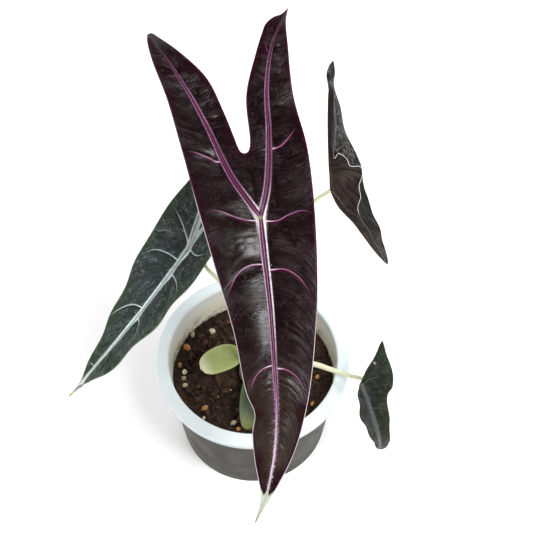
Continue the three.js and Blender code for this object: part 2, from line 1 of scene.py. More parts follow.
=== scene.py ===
"""A potted black cobra alocasia with finer leaves, stalks, pot and mix than the solids that they stand for.

Lengths are in millimetres and angles in degrees until a mesh is made, which is in metres. +Z is up, the
origin is the centre of the pot's flat underside, and the large front leaf points towards -Y.
"""
import math
from functools import partialmethod
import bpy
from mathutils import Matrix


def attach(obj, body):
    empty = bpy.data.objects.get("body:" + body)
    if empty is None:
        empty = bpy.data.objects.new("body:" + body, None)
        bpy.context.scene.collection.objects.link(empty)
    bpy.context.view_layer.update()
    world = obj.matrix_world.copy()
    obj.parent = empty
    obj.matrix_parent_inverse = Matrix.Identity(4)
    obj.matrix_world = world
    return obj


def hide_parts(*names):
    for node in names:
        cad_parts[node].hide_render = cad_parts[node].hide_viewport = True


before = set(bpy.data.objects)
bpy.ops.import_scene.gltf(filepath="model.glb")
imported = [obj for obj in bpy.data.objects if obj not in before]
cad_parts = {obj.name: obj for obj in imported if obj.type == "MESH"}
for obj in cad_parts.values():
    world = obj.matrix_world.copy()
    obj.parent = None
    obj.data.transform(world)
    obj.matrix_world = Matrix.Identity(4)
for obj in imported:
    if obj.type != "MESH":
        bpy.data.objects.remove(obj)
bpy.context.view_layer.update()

from types import SimpleNamespace as Shape

import bmesh
import bpy
import numpy as np
from mathutils import Quaternion, Vector

METRE = 0.001

# Pot, mix and crown
RIM_RADIUS = 60.0
OPENING_RADIUS = 52.0
POT_HEIGHT = 83.0
LIP_DROP = 6.5
BODY_TOP_RADIUS = 54.5
BASE_RADIUS = 47.5
WALL = 1.8
POT_FLOOR = 2.0
POT_SEGMENTS = 192
DRAIN_HOLES = 6
DRAIN_RADIUS = 3.5
DRAIN_CIRCLE = 30.0
MIX_LEVEL = 61.0
MIX_RADIUS = 50.0
MIX_BOTTOM = 2.4
MIX_FOOT_RADIUS = 45.4
CROWN_HOLE_RADIUS = 10.8
CROWN_HOLE_SLOPE = 0.8
CROWN_HOLE_FLOOR = 46.0
CROWN_CLEARANCE = 11.5
CROWN_CENTRE = (1.0, 1.0)
CROWN_PROFILE = [(0, 45), (10, 45), (10, 60), (9.8, 64), (9.9, 66), (9.4, 68.5), (8.6, 70.2), (7.2, 71.5),
                 (4, 71.9), (0, 72)]

# The camera looks as the photo's did: from the front, well above the plant
CAMERA_PLACE = (8.46, -364.0, 741.0)
CAMERA_ELEVATION = 56.84
CAMERA_LENS = 82.03

# How finely blades are divided between a rib and its margin, how thick they are, how their ribs and veins
# stand out, and how many half widths from a vein still count as near it
OUTER_COLUMNS = 28
INNER_COLUMNS = 14
BLADE_THICKNESS = 0.85
MARGIN_THICKNESS = 0.22
SHORT_LEAF_THICKNESS = 1.8
SHORT_MARGIN_THICKNESS = 0.5
RIB_LIP = 0.25
RIB_GROOVE = 0.3
VEIN_GROOVE = 0.35
VEIN_REACH = 6.0

# Blades. Outlines lie in the leaf's own sheet: across to the right, then ahead to the tip, from the point
# where the stalk joins. Each margin runs from the tip to the end of its lobe; veins run outwards.
FRONT_LEAF = Shape(
    posture=dict(junction=(5.5, -14, 250), heading=0, pitch=27, droop_ahead=10, droop_behind=8),
    rows=(290, 200, 64), sinus=(-8, -32.3),
    midrib=[(-3, 154), (3, 138), (7, 117), (8, 95), (7, 75), (5, 45), (2, 18), (0, 0)],
    left=Shape(
        fold=6, shoulder=8, laterals=[(0, 0), (24, 40), (74, 90), (-34, -33), (-83, -81)],
        margin=[(-3, 154), (0, 141), (-3, 120), (-4, 107), (-3, 97), (-7, 87), (-13, 58), (-22, 27),
                (-30, 0), (-38.3, -30), (-46.4, -58), (-55.3, -82), (-57.8, -91.5), (-57.8, -95.2)],
        rib=[(0, 0), (-6, -8), (-15, -21), (-27, -46), (-36, -63), (-48, -82), (-57.8, -95.2)],
        inner=[(-8, -32.3), (-9.8, -33), (-11.2, -35.3), (-13, -40), (-19, -55), (-27.3, -71.7),
               (-41.3, -86), (-52, -93.8), (-55.6, -96), (-57.8, -95.2)],
        veins=[[(-1, 1.8), (-6.7, 1.6), (-12.7, 0.1), (-19.3, -2.5), (-23, -3), (-26.7, -1.3)],
               [(2.6, 23.5), (-5, 24), (-11, 28), (-15, 36), (-17, 42)],
               [(5.5, 73.4), (1.7, 74.7), (-1.7, 77.8), (-3.7, 81.9), (-4.5, 86.7)],
               [(-19.5, -28), (-22.2, -27.9), (-25.2, -29.5), (-29, -31), (-34, -32.5), (-38, -33)]],
        faint_veins=[[(-42.3, -72.5), (-45.8, -72.3), (-50, -71)]]),
    right=Shape(
        fold=6, shoulder=7, laterals=[(0, -2), (26, 40), (75, 88), (-34, -44), (-71, -80)],
        margin=[(-3, 154), (2, 145), (9, 133), (17, 116), (23.6, 90), (27.5, 52), (28, 28), (27, 0),
                (23.5, -34), (16.5, -62), (13.9, -88), (12.9, -103), (14, -110)],
        rib=[(0, 0), (3, -13), (4, -26), (4, -45), (3, -66), (6, -90), (14, -110)],
        inner=[(-8, -32.3), (-6.5, -32.9), (-5.6, -35), (-5.3, -39), (-7.3, -62), (-2.8, -84), (0.4, -95.6),
               (2.6, -101.5), (6.8, -105.2), (10.5, -106.6), (14, -110)],
        veins=[[(1, 2), (8.5, 1.8), (13.5, -0.8), (20, -3), (23.5, -2.6), (27, -0.5)],
               [(3, 26.5), (12, 26), (19, 30), (26, 40)],
               [(7.6, 74.7), (12.6, 75.4), (17.4, 78.5), (20.7, 83.3), (22.8, 87.3)],
               [(4, -34), (10, -36), (14, -40), (18, -46)]],
        faint_veins=[[(2.6, -70.4), (-0.8, -72.8), (-4, -74.6)], [(3.4, -86), (1.6, -93.4)]]),
    waves=(0.5, 42), pillow=(1.3, 0.4), rib_depth=1.6, rib_width=(2.3, 0.4), vein_width=0.5,
    wrinkles=Shape(spacing=(1.5, 7), height=0.6, patch=15, seed=3,
                  stretches=[(-1, 0.3), (-0.8, 0.9), (-0.45, 0.8), (-0.2, 0.2), (0.05, 0.6), (0.3, 0.6),
                             (0.4, 1), (0.68, 1), (0.85, 0.4), (1, 0)]))
LEFT_LEAF = Shape(
    posture=dict(junction=(-33.5, 3, 195), heading=-50, pitch=35, droop_ahead=10, droop_behind=8),
    rows=(150, 84, 28), sinus=(-5, -20),
    midrib=[(-7, 114), (-5, 104), (-3, 89), (0, 60), (1, 25), (0, 0)],
    left=Shape(
        fold=4, shoulder=6, laterals=[(8, 22), (42, 60), (88, 88), (-5, -14)],
        margin=[(-7, 114), (-6.3, 105), (-7.6, 95), (-9.8, 79), (-13.4, 61), (-17.8, 38), (-22.7, 20),
                (-25.6, 3), (-26.8, -10), (-28, -30), (-30, -46), (-27, -60)],
        rib=[(0, 0), (-9, -20), (-17, -36), (-27, -60)],
        inner=[(-5, -20), (-9, -27), (-15, -42), (-27, -60)],
        veins=[[(-2, -2), (-7, -5), (-12.5, -8), (-18.4, -10.3), (-25, -12)],
               [(0, 8), (-8, 9), (-16, 13), (-21, 21)],
               [(0.6, 41.5), (-5.5, 43.6), (-9.3, 48.3), (-12, 54.4), (-14, 62)], [(-3, 88), (-8, 88)]],
        faint_veins=[[(-22.3, 4.5), (-17.9, 0.8), (-13.5, -1), (-10.1, -5.6)]]),
    right=Shape(
        fold=28, shoulder=7, laterals=[(0, -8), (16, 20), (46, 57)],
        margin=[(-7, 114), (-4.8, 103.5), (-0.5, 96.6), (9.2, 82.5), (12.2, 66), (17, 50), (20, 27),
                (21, 14), (19, -4), (19, -25), (17, -42), (10, -60)],
        rib=[(0, 0), (-1, -15), (3, -38), (10, -60)],
        inner=[(-5, -20), (-4, -28), (0, -45), (10, -60)],
        veins=[[(0, -1), (10, -3), (15, -9)], [(1, 16), (11, 15), (18, 18)],
               [(0.6, 46.8), (5.7, 49.5), (8.7, 53.6), (9.3, 60)]],
        faint_veins=[]),
    waves=(1.0, 36), pillow=(1.1, 1.1), rib_depth=1.3, rib_width=(2.1, 1.0), vein_width=0.6,
    wrinkles=Shape(spacing=(1.9, 2.3), height=0.32, patch=6, seed=4, stretches=[(-1, 1), (1, 1)]))
# The right and the low leaf are folded, so their rails are points in space: right, up the slope and towards
# the front, in a frame that leans back by LEAN and starts where the stalk joins.
LEAN = 33.16
RIGHT_LEAF = Shape(
    posture=dict(junction=(42.6, 14.1, 235), lean=LEAN), rows=(100, 100, 28), sinus=(-0.7, 16.6, 4),
    midrib=[(34.6, -38.4, -58), (24.1, -29.5, -32), (16.4, -21.2, -14), (12.4, -16.4, -8), (6.9, -11.2, -3),
            (3.6, -7.3, -1), (0, 0, 0)],
    left=Shape(
        fold=0, shoulder=5, laterals=[(10, 22), (-8, -3)],
        margin=[(34.6, -38.4, -58), (24.5, -28.1, -22), (17.9, -19.5, 1), (12.4, -10, 11), (13.3, -4.6, 15),
                (12.7, 1, 17), (14.6, 6.2, 16), (13.6, 10.6, 18), (7.5, 10.2, 23), (5.7, 14, 23),
                (1.5, 16.7, 25), (-0.2, 14.1, 27), (-0.9, 20.9, 31), (-0.9, 33.7, 35), (-1.3, 45.5, 38),
                (-3.2, 49.5, 39)],
        rib=[(0, 0, 0), (-1.1, 9.9, 8), (-2.5, 29.1, 22), (-3, 41.6, 32), (-3.2, 49.5, 39)],
        inner=[(-0.7, 16.6, 4), (-1.4, 23.1, 9), (-2.2, 37.2, 22), (-3.2, 49.5, 39)],
        veins=[[(0.3, -0.8, 0.3), (4, -5.6, 1.6), (8, -9.6, 2.2), (11.5, -13, 1.6)]],
        faint_veins=[]),
    right=Shape(
        fold=0, shoulder=5, laterals=[(12, 24), (-6, -14), (40, 50)],
        margin=[(34.6, -38.4, -58), (33.5, -34.2, -49), (29.6, -26.8, -33), (26.6, -19.3, -21),
                (22.4, -10.5, -17), (18.1, 1.3, -15), (16.5, 13.3, -16), (14, 18.9, -17), (7.9, 33.6, -18),
                (4.1, 46.6, -12), (1.4, 55.8, -5), (1.2, 61, 0), (0.2, 66.3, 4)],
        rib=[(0, 0, 0), (1, 10, -1), (1.4, 20, -3), (1.6, 38, -5), (-0.6, 56, 0), (0.2, 66.3, 4)],
        inner=[(-0.7, 16.6, 4), (-0.5, 26, 5), (-0.6, 42, 5), (-2.4, 54.5, 4.5), (-3.2, 59.5, 4),
               (-1.6, 64.5, 4), (0.2, 66.3, 4)],
        veins=[[(1.4, 20, -3), (6, 24, -9), (10, 27, -16)]],
        faint_veins=[]),
    waves=(0.4, 24), pillow=(0.8, 0.8), rib_depth=0.6, rib_width=(0.7, 0.3), vein_width=0.35,
    wrinkles=Shape(spacing=(1.6, 1.4), height=0.22, patch=5, seed=5, stretches=[(-1, 1), (1, 1)]))
LOW_LEAF = Shape(
    posture=dict(junction=(63.2, -36.2, 115), lean=LEAN), rows=(80, 50, 15), sinus=(2.6, 6.4, -2.5),
    midrib=[(13.2, -41, -23), (12.3, -36, -14), (10.6, -29.3, -7), (6.2, -16.5, -1.5), (3.2, -8, 0),
            (0, 0, 0)],
    left=Shape(
        fold=0, shoulder=6, laterals=[(10, 16)],
        margin=[(13.2, -41, -23), (10.6, -39.8, -21), (8.4, -35.8, -17), (3.8, -27.1, -13),
                (0.9, -21.5, -12), (-0.6, -10.1, -10), (-0.7, -3.8, -8), (0.8, 1.5, -9), (4.5, 6, -12),
                (9, 11.6, -17), (13.4, 18.5, -20)],
        rib=[(0, 0, 0), (4, 4.5, -6), (9.8, 11.5, -12), (13.4, 18.5, -20)],
        inner=[(2.6, 6.4, -2.5), (7, 9, -6), (11, 14, -12), (13.4, 18.5, -20)],
        veins=[[(2, -5, 0), (0.6, -10, -5), (-0.6, -14, -11)]],
        faint_veins=[]),
    right=Shape(
        fold=0, shoulder=7, laterals=[(1, -4), (14, 17)],
        margin=[(13.2, -41, -23), (16.6, -39.8, -21), (18, -37, -17), (17.8, -31.5, -11), (17.2, -21.8, -6),
                (15.5, -8.8, -3), (15.8, -6, -2), (18.6, -2.4, -4), (19.2, 3.6, -4), (17.4, 10.5, -4),
                (14.5, 19.7, -5), (12.9, 24.6, -6)],
        rib=[(0, 0, 0), (4.6, 7.7, -0.5), (9.4, 16.5, -2.5), (12.9, 24.6, -6)],
        inner=[(2.6, 6.4, -2.5), (6.2, 12, -4), (8.3, 15.8, -4.5), (12.9, 24.6, -6)],
        veins=[[(1, 0, 0), (6, 3, -1), (13, 4.5, -3)], [(5.4, -14, -1), (10, -14.5, -2), (15, -15, -4)]],
        faint_veins=[]),
    waves=(0.5, 16), pillow=(0.4, 0.4), rib_depth=0.8, rib_width=(1.15, 0.9), vein_width=0.35,
    wrinkles=Shape(spacing=(1.6, 2.0), height=0.18, patch=5, seed=6, stretches=[(-1, 1), (1, 1)]))

# Stalks: the way from the crown to the blade, and the radius at the foot, in the middle and at the neck
SOCKET_FLOOR = 60.0
FRONT_STALK = Shape(path=[(1, -2.6, SOCKET_FLOOR), (1.2, -4, 90), (3.5, -9, 170), (5, -13, 225)],
                    radii=(2.3, 2, 1.5), neck=9)
LEFT_STALK = Shape(path=[(-3.4, 1.4, SOCKET_FLOOR), (-4.6, 0.5, 90), (-9, -2, 140), (-16.8, -3.1, 172),
                         (-24.5, -1.7, 186)], radii=(2.2, 1.5, 0.95), neck=9)
RIGHT_STALK = Shape(path=[(3.4, 4.6, SOCKET_FLOOR), (5.4, 6, 95), (15, 10.5, 175), (25, 13, 208),
                          (33.5, 14, 225)], radii=(2.2, 1.5, 1), neck=0)
LOW_STALK = Shape(path=[(6, 0, SOCKET_FLOOR), (12, -1, 73), (24, -3, 80), (37, -6.5, 84.5),
                        (48.3, -12.5, 88), (57.6, -18.5, 92.5), (67.4, -28.2, 104.5)],
                  radii=(2.2, 1.8, 0.8), neck=0)

# Short leaves at the crown: half widths go along the leaf, from its foot to its tip
CATAPHYLL = Shape(
    posture=dict(junction=(-9.1, 8.8, 69.7), heading=-60, pitch=-30, droop_ahead=140, roll=-24),
    length=28, trough=14,
    half_widths=[(0, 4), (0.12, 6.2), (0.3, 7.7), (0.55, 8), (0.8, 6.8), (0.94, 4.2), (1, 0)])
YOUNG_LEAF = Shape(
    posture=dict(junction=(1.5, -8.8, 69), heading=-8, pitch=-38, droop_ahead=195),
    length=38, trough=24, half_widths=[(0, 4.5), (0.3, 6.5), (0.6, 6.3), (0.85, 4.6), (0.96, 2.6), (1, 0)])


def smooth(points, per_span=24):
    """A centripetal Catmull-Rom curve through the points, as a fine polyline."""
    p = np.array(points, float)
    if p.shape[1] == 2:
        p = np.column_stack([p, np.zeros(len(p))])
    p = np.vstack([2 * p[0] - p[1], p, 2 * p[-1] - p[-2]])
    t = np.linspace(0, 1, per_span + 1)[1:, None]
    line = [p[1]]
    for a, b, c, d in zip(p, p[1:], p[2:], p[3:]):
        before, span, after = (math.sqrt(np.linalg.norm(step)) for step in (b - a, c - b, d - c))
        start = ((b - a) / before - (c - a) / (before + span) + (c - b) / span) * span
        end = ((c - b) / span - (d - b) / (span + after) + (d - c) / after) * span
        cubic = 2 * b - 2 * c + start + end
        line.append(((cubic * t + 3 * c - 3 * b - 2 * start - end) * t + start) * t + b)
    return np.vstack(line)


def run_lengths(line):
    """The distance along a polyline to each of its points."""
    return np.concatenate([[0], np.cumsum(np.linalg.norm(np.diff(line, axis=0), axis=1))])


def even_steps(line, count):
    """The same line with count equal steps."""
    lengths = run_lengths(line)
    wanted = np.linspace(0, lengths[-1], count + 1)
    return np.column_stack([np.interp(wanted, lengths, line[:, k]) for k in range(3)])


def margin_steps(points, shoulder, ahead, behind):
    """A margin with equal steps on either side of the point that faces the junction."""
    per_span = 24
    line = smooth(points, per_span)
    cut = shoulder * per_span
    return np.vstack([even_steps(line[:cut + 1], ahead), even_steps(line[cut:], behind)[1:]])


def place(points, junction, heading=0, pitch=0, droop_ahead=0, droop_behind=0, roll=0, lean=None):
    """Leaf points in space. A folded leaf's frame leans back about the X axis. Any other sheet points down
    by its pitch and droops in an even arc both ways."""
    if lean is not None:
        a = math.radians(lean)
        turn = np.array([[1, 0, 0], [0, math.cos(a), -math.sin(a)], [0, math.sin(a), math.cos(a)]])
        return points @ turn.T + junction
    turn, start, rolled = np.radians([heading, pitch, roll])
    forward = np.array([math.sin(turn), -math.cos(turn), 0])
    sideways = np.array([math.cos(turn), math.sin(turn), 0])
    up = np.array([0, 0, 1])
    x, y, z = points.T[:, :, None]
    bend = np.radians(np.where(y >= 0, droop_ahead, droop_behind)) / 100 + 1e-9
    angle = start + bend * y
    normal = np.sin(angle) * forward + np.cos(angle) * up
    across = math.cos(rolled) * sideways + math.sin(rolled) * normal
    above = math.cos(rolled) * normal - math.sin(rolled) * sideways
    run = (np.sin(angle) - math.sin(start)) / bend
    rise = (np.cos(angle) - math.cos(start)) / bend
    return junction + run * forward + rise * up + x * across + z * above


def nearest_on(points, line):
    """For each point the distance to a polyline, the nearest place on it and how far along that lies."""
    best, share = np.full(len(points), np.inf), np.zeros(len(points))
    nearest = np.zeros((len(points), 3))
    shares = run_lengths(line) / run_lengths(line)[-1]
    for a, b, low, high in zip(line, line[1:], shares, shares[1:]):
        step = b - a
        t = np.clip((points - a) @ step / max(step @ step, 1e-12), 0, 1)
        foot = a + t[:, None] * step
        distance = np.linalg.norm(points - foot, axis=1)
        closer = distance < best
        best[closer], nearest[closer] = distance[closer], foot[closer]
        share[closer] = (low + t * (high - low))[closer]
    return best, nearest, share


def random_swell(x, y, seed):
    """Smooth random heights between -1 and 1, about one swell to each unit step of x and y."""
    size = 97
    table = np.random.default_rng(seed).uniform(-1, 1, (size, size))
    left, low = np.floor(x).astype(int), np.floor(y).astype(int)
    u, v = ((3 - 2 * t) * t * t for t in (x - left, y - low))
    a, b, c, d = (table[(left + i) % size, (low + j) % size] for j in (0, 1) for i in (0, 1))
    return (a * (1 - u) + b * u) * (1 - v) + (c * (1 - u) + d * u) * v


def smooth_normals(points, quads):
    """Normals of a surface of quads and triangles: the sum of the faces round each point."""
    triangles = np.array([(f[0], f[k], f[k + 1]) for f in quads for k in range(1, len(f) - 1)])
    a, b, c = (points[triangles[:, k]] for k in range(3))
    normals = np.zeros_like(points)
    for k in range(3):
        np.add.at(normals, triangles[:, k], np.cross(b - a, c - a))
    return normals / np.maximum(np.linalg.norm(normals, axis=1, keepdims=True), 1e-12)


class Grid:
    """An open surface of quads. A key names each point, so panels that meet share it."""

    def __init__(self):
        self.keys, self.rows, self.quads = {}, [], []

    def point(self, key, *values):
        if key not in self.keys:
            self.keys[key] = len(self.rows)
            self.rows.append(values)
        return self.keys[key]

    def quad(self, corners, flip=False):
        face = list(dict.fromkeys(corners))
        if len(face) > 2:
            self.quads.append(face[::-1] if flip else face)


def slab_faces(quads, count):
    """Faces of a closed slab: the upper side, the lower side and the wall round the open edge."""
    faces = [tuple(f) for f in quads]
    faces += [tuple(i + count for i in reversed(f)) for f in quads]
    edges = {(a, b) for f in quads for a, b in zip(f, f[1:] + f[:1])}
    return faces + [(b, a, a + count, b + count) for a, b in sorted(edges) if (b, a) not in edges]


def make_object(name, points, faces, material, **attributes):
    """A smooth-shaded mesh object, with its points given in millimetres."""
    mesh = bpy.data.meshes.new(name)
    mesh.from_pydata((np.asarray(points) * METRE).tolist(), [], faces)
    mesh.polygons.foreach_set("use_smooth", [True] * len(mesh.polygons))
    for label, values in attributes.items():
        layer = mesh.attributes.new(label, "FLOAT_VECTOR", "POINT")
        layer.data.foreach_set("vector", np.asarray(values, np.float32).ravel())
    mesh.materials.append(material)
    mesh.update()
    return add_to_scene(name, mesh)


def add_to_scene(name, data):
    """An object that shows the data, in the scene."""
    piece = bpy.data.objects.new(name, data)
    bpy.context.scene.collection.objects.link(piece)
    return piece


def stands_for(piece, node, slot):
    """The piece rides on the one body and is shown in place of its solid."""
    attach(piece, "root")
    if node:
        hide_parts(node)


def blade_grid(leaf):
    """The blade's points in rail coordinates, as panels between each rib and its margins."""
    grid = Grid()
    ahead, lobe, fused = leaf.rows
    midrib = smooth(leaf.midrib)
    centre = even_steps(smooth([(0,) * len(leaf.sinus), leaf.sinus], 4), fused)
    for sign, name in ((-1, "left"), (1, "right")):
        side = getattr(leaf, name)
        lobe_rib = smooth(side.rib)
        rib = np.vstack([even_steps(midrib, ahead), even_steps(lobe_rib, lobe)[1:]])
        margin = margin_steps(side.margin, side.shoulder, ahead, lobe)
        inner = np.vstack([rib[:ahead], centre, even_steps(smooth(side.inner), lobe - fused)[1:]])
        along = np.append(1 - np.arange(ahead) / ahead, -np.arange(lobe + 1) / lobe)
        station = along * np.where(along > 0, run_lengths(midrib)[-1], run_lengths(lobe_rib)[-1])
        lift = math.tan(math.radians(side.fold))

        def point(i, c, inward):
            """The point in row i and column c, on the way from the rib to the margin or the inner edge."""
            edge, columns, power = (inner, INNER_COLUMNS, 1.1) if inward else (margin, OUTER_COLUMNS, 1.2)
            on_rib = c == 0 or i in (ahead if inward else 0, ahead + lobe)
            across = 0 if on_rib else (c / columns) ** power
            to = edge[i] - rib[i]
            key = (name, inward, i, c)
            if on_rib:
                key = ("rib", i) if i <= ahead else (name, i)
            elif inward and c == columns and i <= ahead + fused:
                key = ("centre", i)
            return grid.point(key, *(rib[i] + across * to), across, np.linalg.norm(to), station[i], along[i],
                              -sign if inward else sign, 0 if inward else lift, inward)

        panels = ((0, 0, OUTER_COLUMNS, ((0, 0), (1, 0), (1, 1), (0, 1))),
                  (1, ahead, INNER_COLUMNS, ((0, 0), (0, 1), (1, 1), (1, 0))))
        for inward, first, columns, corners in panels:
            for i in range(first, ahead + lobe):
                for c in range(columns):
                    grid.quad([point(i + down, c + out, inward) for down, out in corners], sign > 0)
    return grid


def rib_distance(leaf, points):
    """Distance to the midrib and the two lobe ribs, in half widths of the rib there."""
    root, end = leaf.rib_width
    scaled = []
    for line in (leaf.midrib[::-1], leaf.left.rib, leaf.right.rib):
        distance, _, share = nearest_on(points, smooth(line, 12))
        scaled.append(distance / (root + (end - root) * share))
    return np.min(scaled, axis=0)


def vein_distance(leaf, points):
    """Signed distance to the nearest side vein in half widths, and how strong the vein is there."""
    ahead = smooth(leaf.midrib)[0]
    signed, strength = np.full(len(points), np.inf), np.zeros(len(points))
    for side in (leaf.left, leaf.right):
        veins = [(vein, 1.0) for vein in side.veins] + [(vein, 0.25) for vein in side.faint_veins]
        for vein, boldness in veins:
            distance, foot, share = nearest_on(points, smooth(vein, 10))
            scaled = distance / (leaf.vein_width * (1 - 0.5 * share))
            closer = scaled < np.abs(signed)
            signed[closer] = np.where((points - foot) @ ahead >= 0, scaled, -scaled)[closer]
            strength[closer] = boldness * (1 - share ** 1.6)[closer]
    return np.clip(signed, -VEIN_REACH, VEIN_REACH), np.where(np.abs(signed) < VEIN_REACH, strength, 0)


def edge_distance(leaf, points):
    """Distance to the nearest margin."""
    lines = [line for side in (leaf.left, leaf.right) for line in (side.margin, side.inner)]
    return np.min([nearest_on(points, smooth(line, 10))[0] for line in lines], axis=0)


def blade_relief(leaf, station, across, width, sign, inside):
    """Swelling between the side veins, and waves that grow towards the margin."""
    full_width, trough = 16, 4
    pillow = np.where(sign < 0, *leaf.pillow)
    bulge = pillow * np.sin(math.pi * across ** 0.7) * np.minimum(1, width / full_width)
    height, length = leaf.waves
    wave = height * across ** 2 * np.sin(2 * math.pi * station / length)
    relief = 0.5 * (bulge + wave)
    for half, side in ((-1, leaf.left), (1, leaf.right)):
        swell = np.ones(len(station))
        for root, end in side.laterals:
            gap = station - (root + (end - root) * across ** 2)
            swell *= 1 - np.exp(-(gap / trough) ** 2)
        relief = np.where((sign == half) & (inside == 0), bulge * swell + wave, relief)
    return relief


def fine_wrinkles(leaf, warped, beside, across, along):
    """Round puckers with sharp creases between them, which run across the rib, and how strong they are."""
    w = leaf.wrinkles
    longer, wider = 2.3, 1.5
    x, y = warped / w.spacing[0], beside / w.spacing[1]
    small = np.abs(random_swell(x, y, w.seed))
    large = np.abs(random_swell(x / longer, y / wider, w.seed + 10))
    patch = random_swell(warped / w.patch, beside / w.patch, w.seed + 20)
    stretch = np.interp(along, *zip(*w.stretches))
    strength = stretch * np.clip(0.45 + 1.5 * patch, 0, 1) * np.sin(math.pi * across) ** 0.5
    return np.minimum(1, 0.9 * np.sqrt(small * large) + 0.35 * large), strength


def build_blade(name, leaf, material):
    """One arrow-shaped blade as a closed thin slab with its ribs, side veins and quilting."""
    grid = blade_grid(leaf)
    rows = np.array(grid.rows, float)
    flat = rows[:, :3]
    across, width, station, along, sign, lift, inside = rows[:, 3:].T
    rib, edge = rib_distance(leaf, flat), edge_distance(leaf, flat)
    vein, strength = vein_distance(leaf, flat)
    lifted = flat + np.outer(lift * width * across, (0, 0, 1))
    base = place(lifted, **leaf.posture)
    normals = smooth_normals(base, grid.quads)

    # The station along the rib, bent as the side veins bend on their way to the margin
    swept = 6.0 if "lean" in leaf.posture else 14.0
    full_from = 25
    warped = station - swept * across ** 2.2 * np.clip(station / full_from, -0.5, 1) * (1 - inside)
    beside = sign * width * across
    off_rib = 1 - np.exp(-(rib / 1.6) ** 4)
    pucker, puckered = fine_wrinkles(leaf, warped, beside, across, along)
    puckered *= off_rib
    relief = blade_relief(leaf, station, across, width, sign, inside)
    relief += leaf.wrinkles.height * pucker * puckered
    calm = np.clip((1 - np.abs(along)) / 0.12, 0, 1)
    relief += calm * (RIB_LIP * np.exp(-((rib - 0.85) / 0.4) ** 2) - RIB_GROOVE * np.exp(-(rib / 0.5) ** 2))
    relief -= VEIN_GROOVE * np.exp(-(vein / 2.2) ** 2) * strength * off_rib
    ridge = leaf.rib_depth * (1 - 0.7 * np.abs(along)) * np.exp(-(across * width / 1.6) ** 2)
    half = (BLADE_THICKNESS + (MARGIN_THICKNESS - BLADE_THICKNESS) * across) / 2
    top = base + normals * (relief + half)[:, None]
    bottom = base + normals * (relief - half - ridge)[:, None]

    fields = dict(veins=(rib, vein, edge), grain=(warped, beside, station),
                  folds=(pucker, puckered, across * inside), zone=(0 * along, along, strength))
    fields = {label: np.tile(np.column_stack(values), (2, 1)) for label, values in fields.items()}
    fields["zone"][len(top):, 0] = 1
    piece = make_object(name, np.vstack([top, bottom]), slab_faces(grid.quads, len(top)), material, **fields)
    junction = grid.keys[("rib", leaf.rows[0])]
    return piece, base[junction], normals[junction]


def ring_faces(rings, flip=False):
    """Faces between neighbouring rings of point numbers. A ring may be one number, repeated."""
    faces = []
    for lower, upper in zip(rings, rings[1:]):
        for s in range(len(lower)):
            t = (s + 1) % len(lower)
            face = tuple(dict.fromkeys((lower[s], lower[t], upper[t], upper[s])))
            faces.append(face[:1] + face[:0:-1] if flip else face)
    return [face for face in faces if len(face) > 2]


def build_stalk(name, stalk, leaf, junction, normal, material):
    """A round tapering stalk, whose end runs just into the ridge under its blade."""
    sides, steps_per_span, sunk = 20, 16, 0.8
    end = junction - normal * (BLADE_THICKNESS / 2 + leaf.rib_depth * sunk)
    path = stalk.path + ([end - normal * stalk.neck] if stalk.neck else []) + [end]
    line = even_steps(smooth(path), (len(path) - 1) * steps_per_span)
    tangents = np.gradient(line, axis=0)
    tangents /= np.linalg.norm(tangents, axis=1, keepdims=True)
    t = np.linspace(0, 1, len(line))
    radii = (1 - t) ** 2 * stalk.radii[0] + 2 * t * (1 - t) * stalk.radii[1] + t * t * stalk.radii[2]
    angles = 2 * math.pi * np.arange(sides) / sides
    spoke = np.cross(tangents[0], (0, 1, 0))
    points = []
    for middle, tangent, radius in zip(line, tangents, radii):
        spoke = spoke - tangent * (spoke @ tangent)
        spoke /= np.linalg.norm(spoke)
        round_it = np.outer(np.cos(angles), spoke) + np.outer(np.sin(angles), np.cross(tangent, spoke))
        points.append(middle + radius * round_it)
    rings = np.arange(len(line) * sides).reshape(-1, sides).tolist()
    faces = ring_faces(rings) + [tuple(rings[0][::-1]), tuple(rings[-1])]
    around = np.tile(angles, len(line))
    zone = np.column_stack([np.repeat(t, sides), np.repeat(run_lengths(line), sides), around])
    return make_object(name, np.vstack(points), faces, material, zone=zone)


def build_short_leaf(name, leaf, material):
    """A thick trough-shaped leaf that narrows to its tip."""
    rows, columns = 70, 36
    outline = [(share * leaf.length, width) for share, width in leaf.half_widths]
    widths = even_steps(smooth(outline), rows)
    slope = math.tan(math.radians(leaf.trough))
    grid = Grid()

    def spot(i, c):
        across = 0 if i == rows else 2 * c / columns - 1
        along, half = widths[i][:2]
        key = "tip" if i == rows else (i, c)
        return grid.point(key, across * half, along, across ** 2 * half * slope, across, i / rows, half)

    for i in range(rows):
        for c in range(columns):
            grid.quad((spot(i, c), spot(i + 1, c), spot(i + 1, c + 1), spot(i, c + 1)))
    data = np.array(grid.rows, float)
    base = place(data[:, :3], **leaf.posture)
    normals = smooth_normals(base, grid.quads)
    across, share, half_width = data[:, 3:].T
    thinning = SHORT_LEAF_THICKNESS - SHORT_MARGIN_THICKNESS
    half = (SHORT_LEAF_THICKNESS - thinning * np.abs(across) ** 1.5) / 2
    rib_height, rib_turns = 0.06, 22
    ribs = rib_height * np.cos(across * rib_turns)
    points = np.vstack([base + normals * (half + ribs)[:, None], base - normals * half[:, None]])
    zone = np.tile(np.column_stack([across, share, across * half_width]), (2, 1))
    return make_object(name, points, slab_faces(grid.quads, len(base)), material, zone=zone)


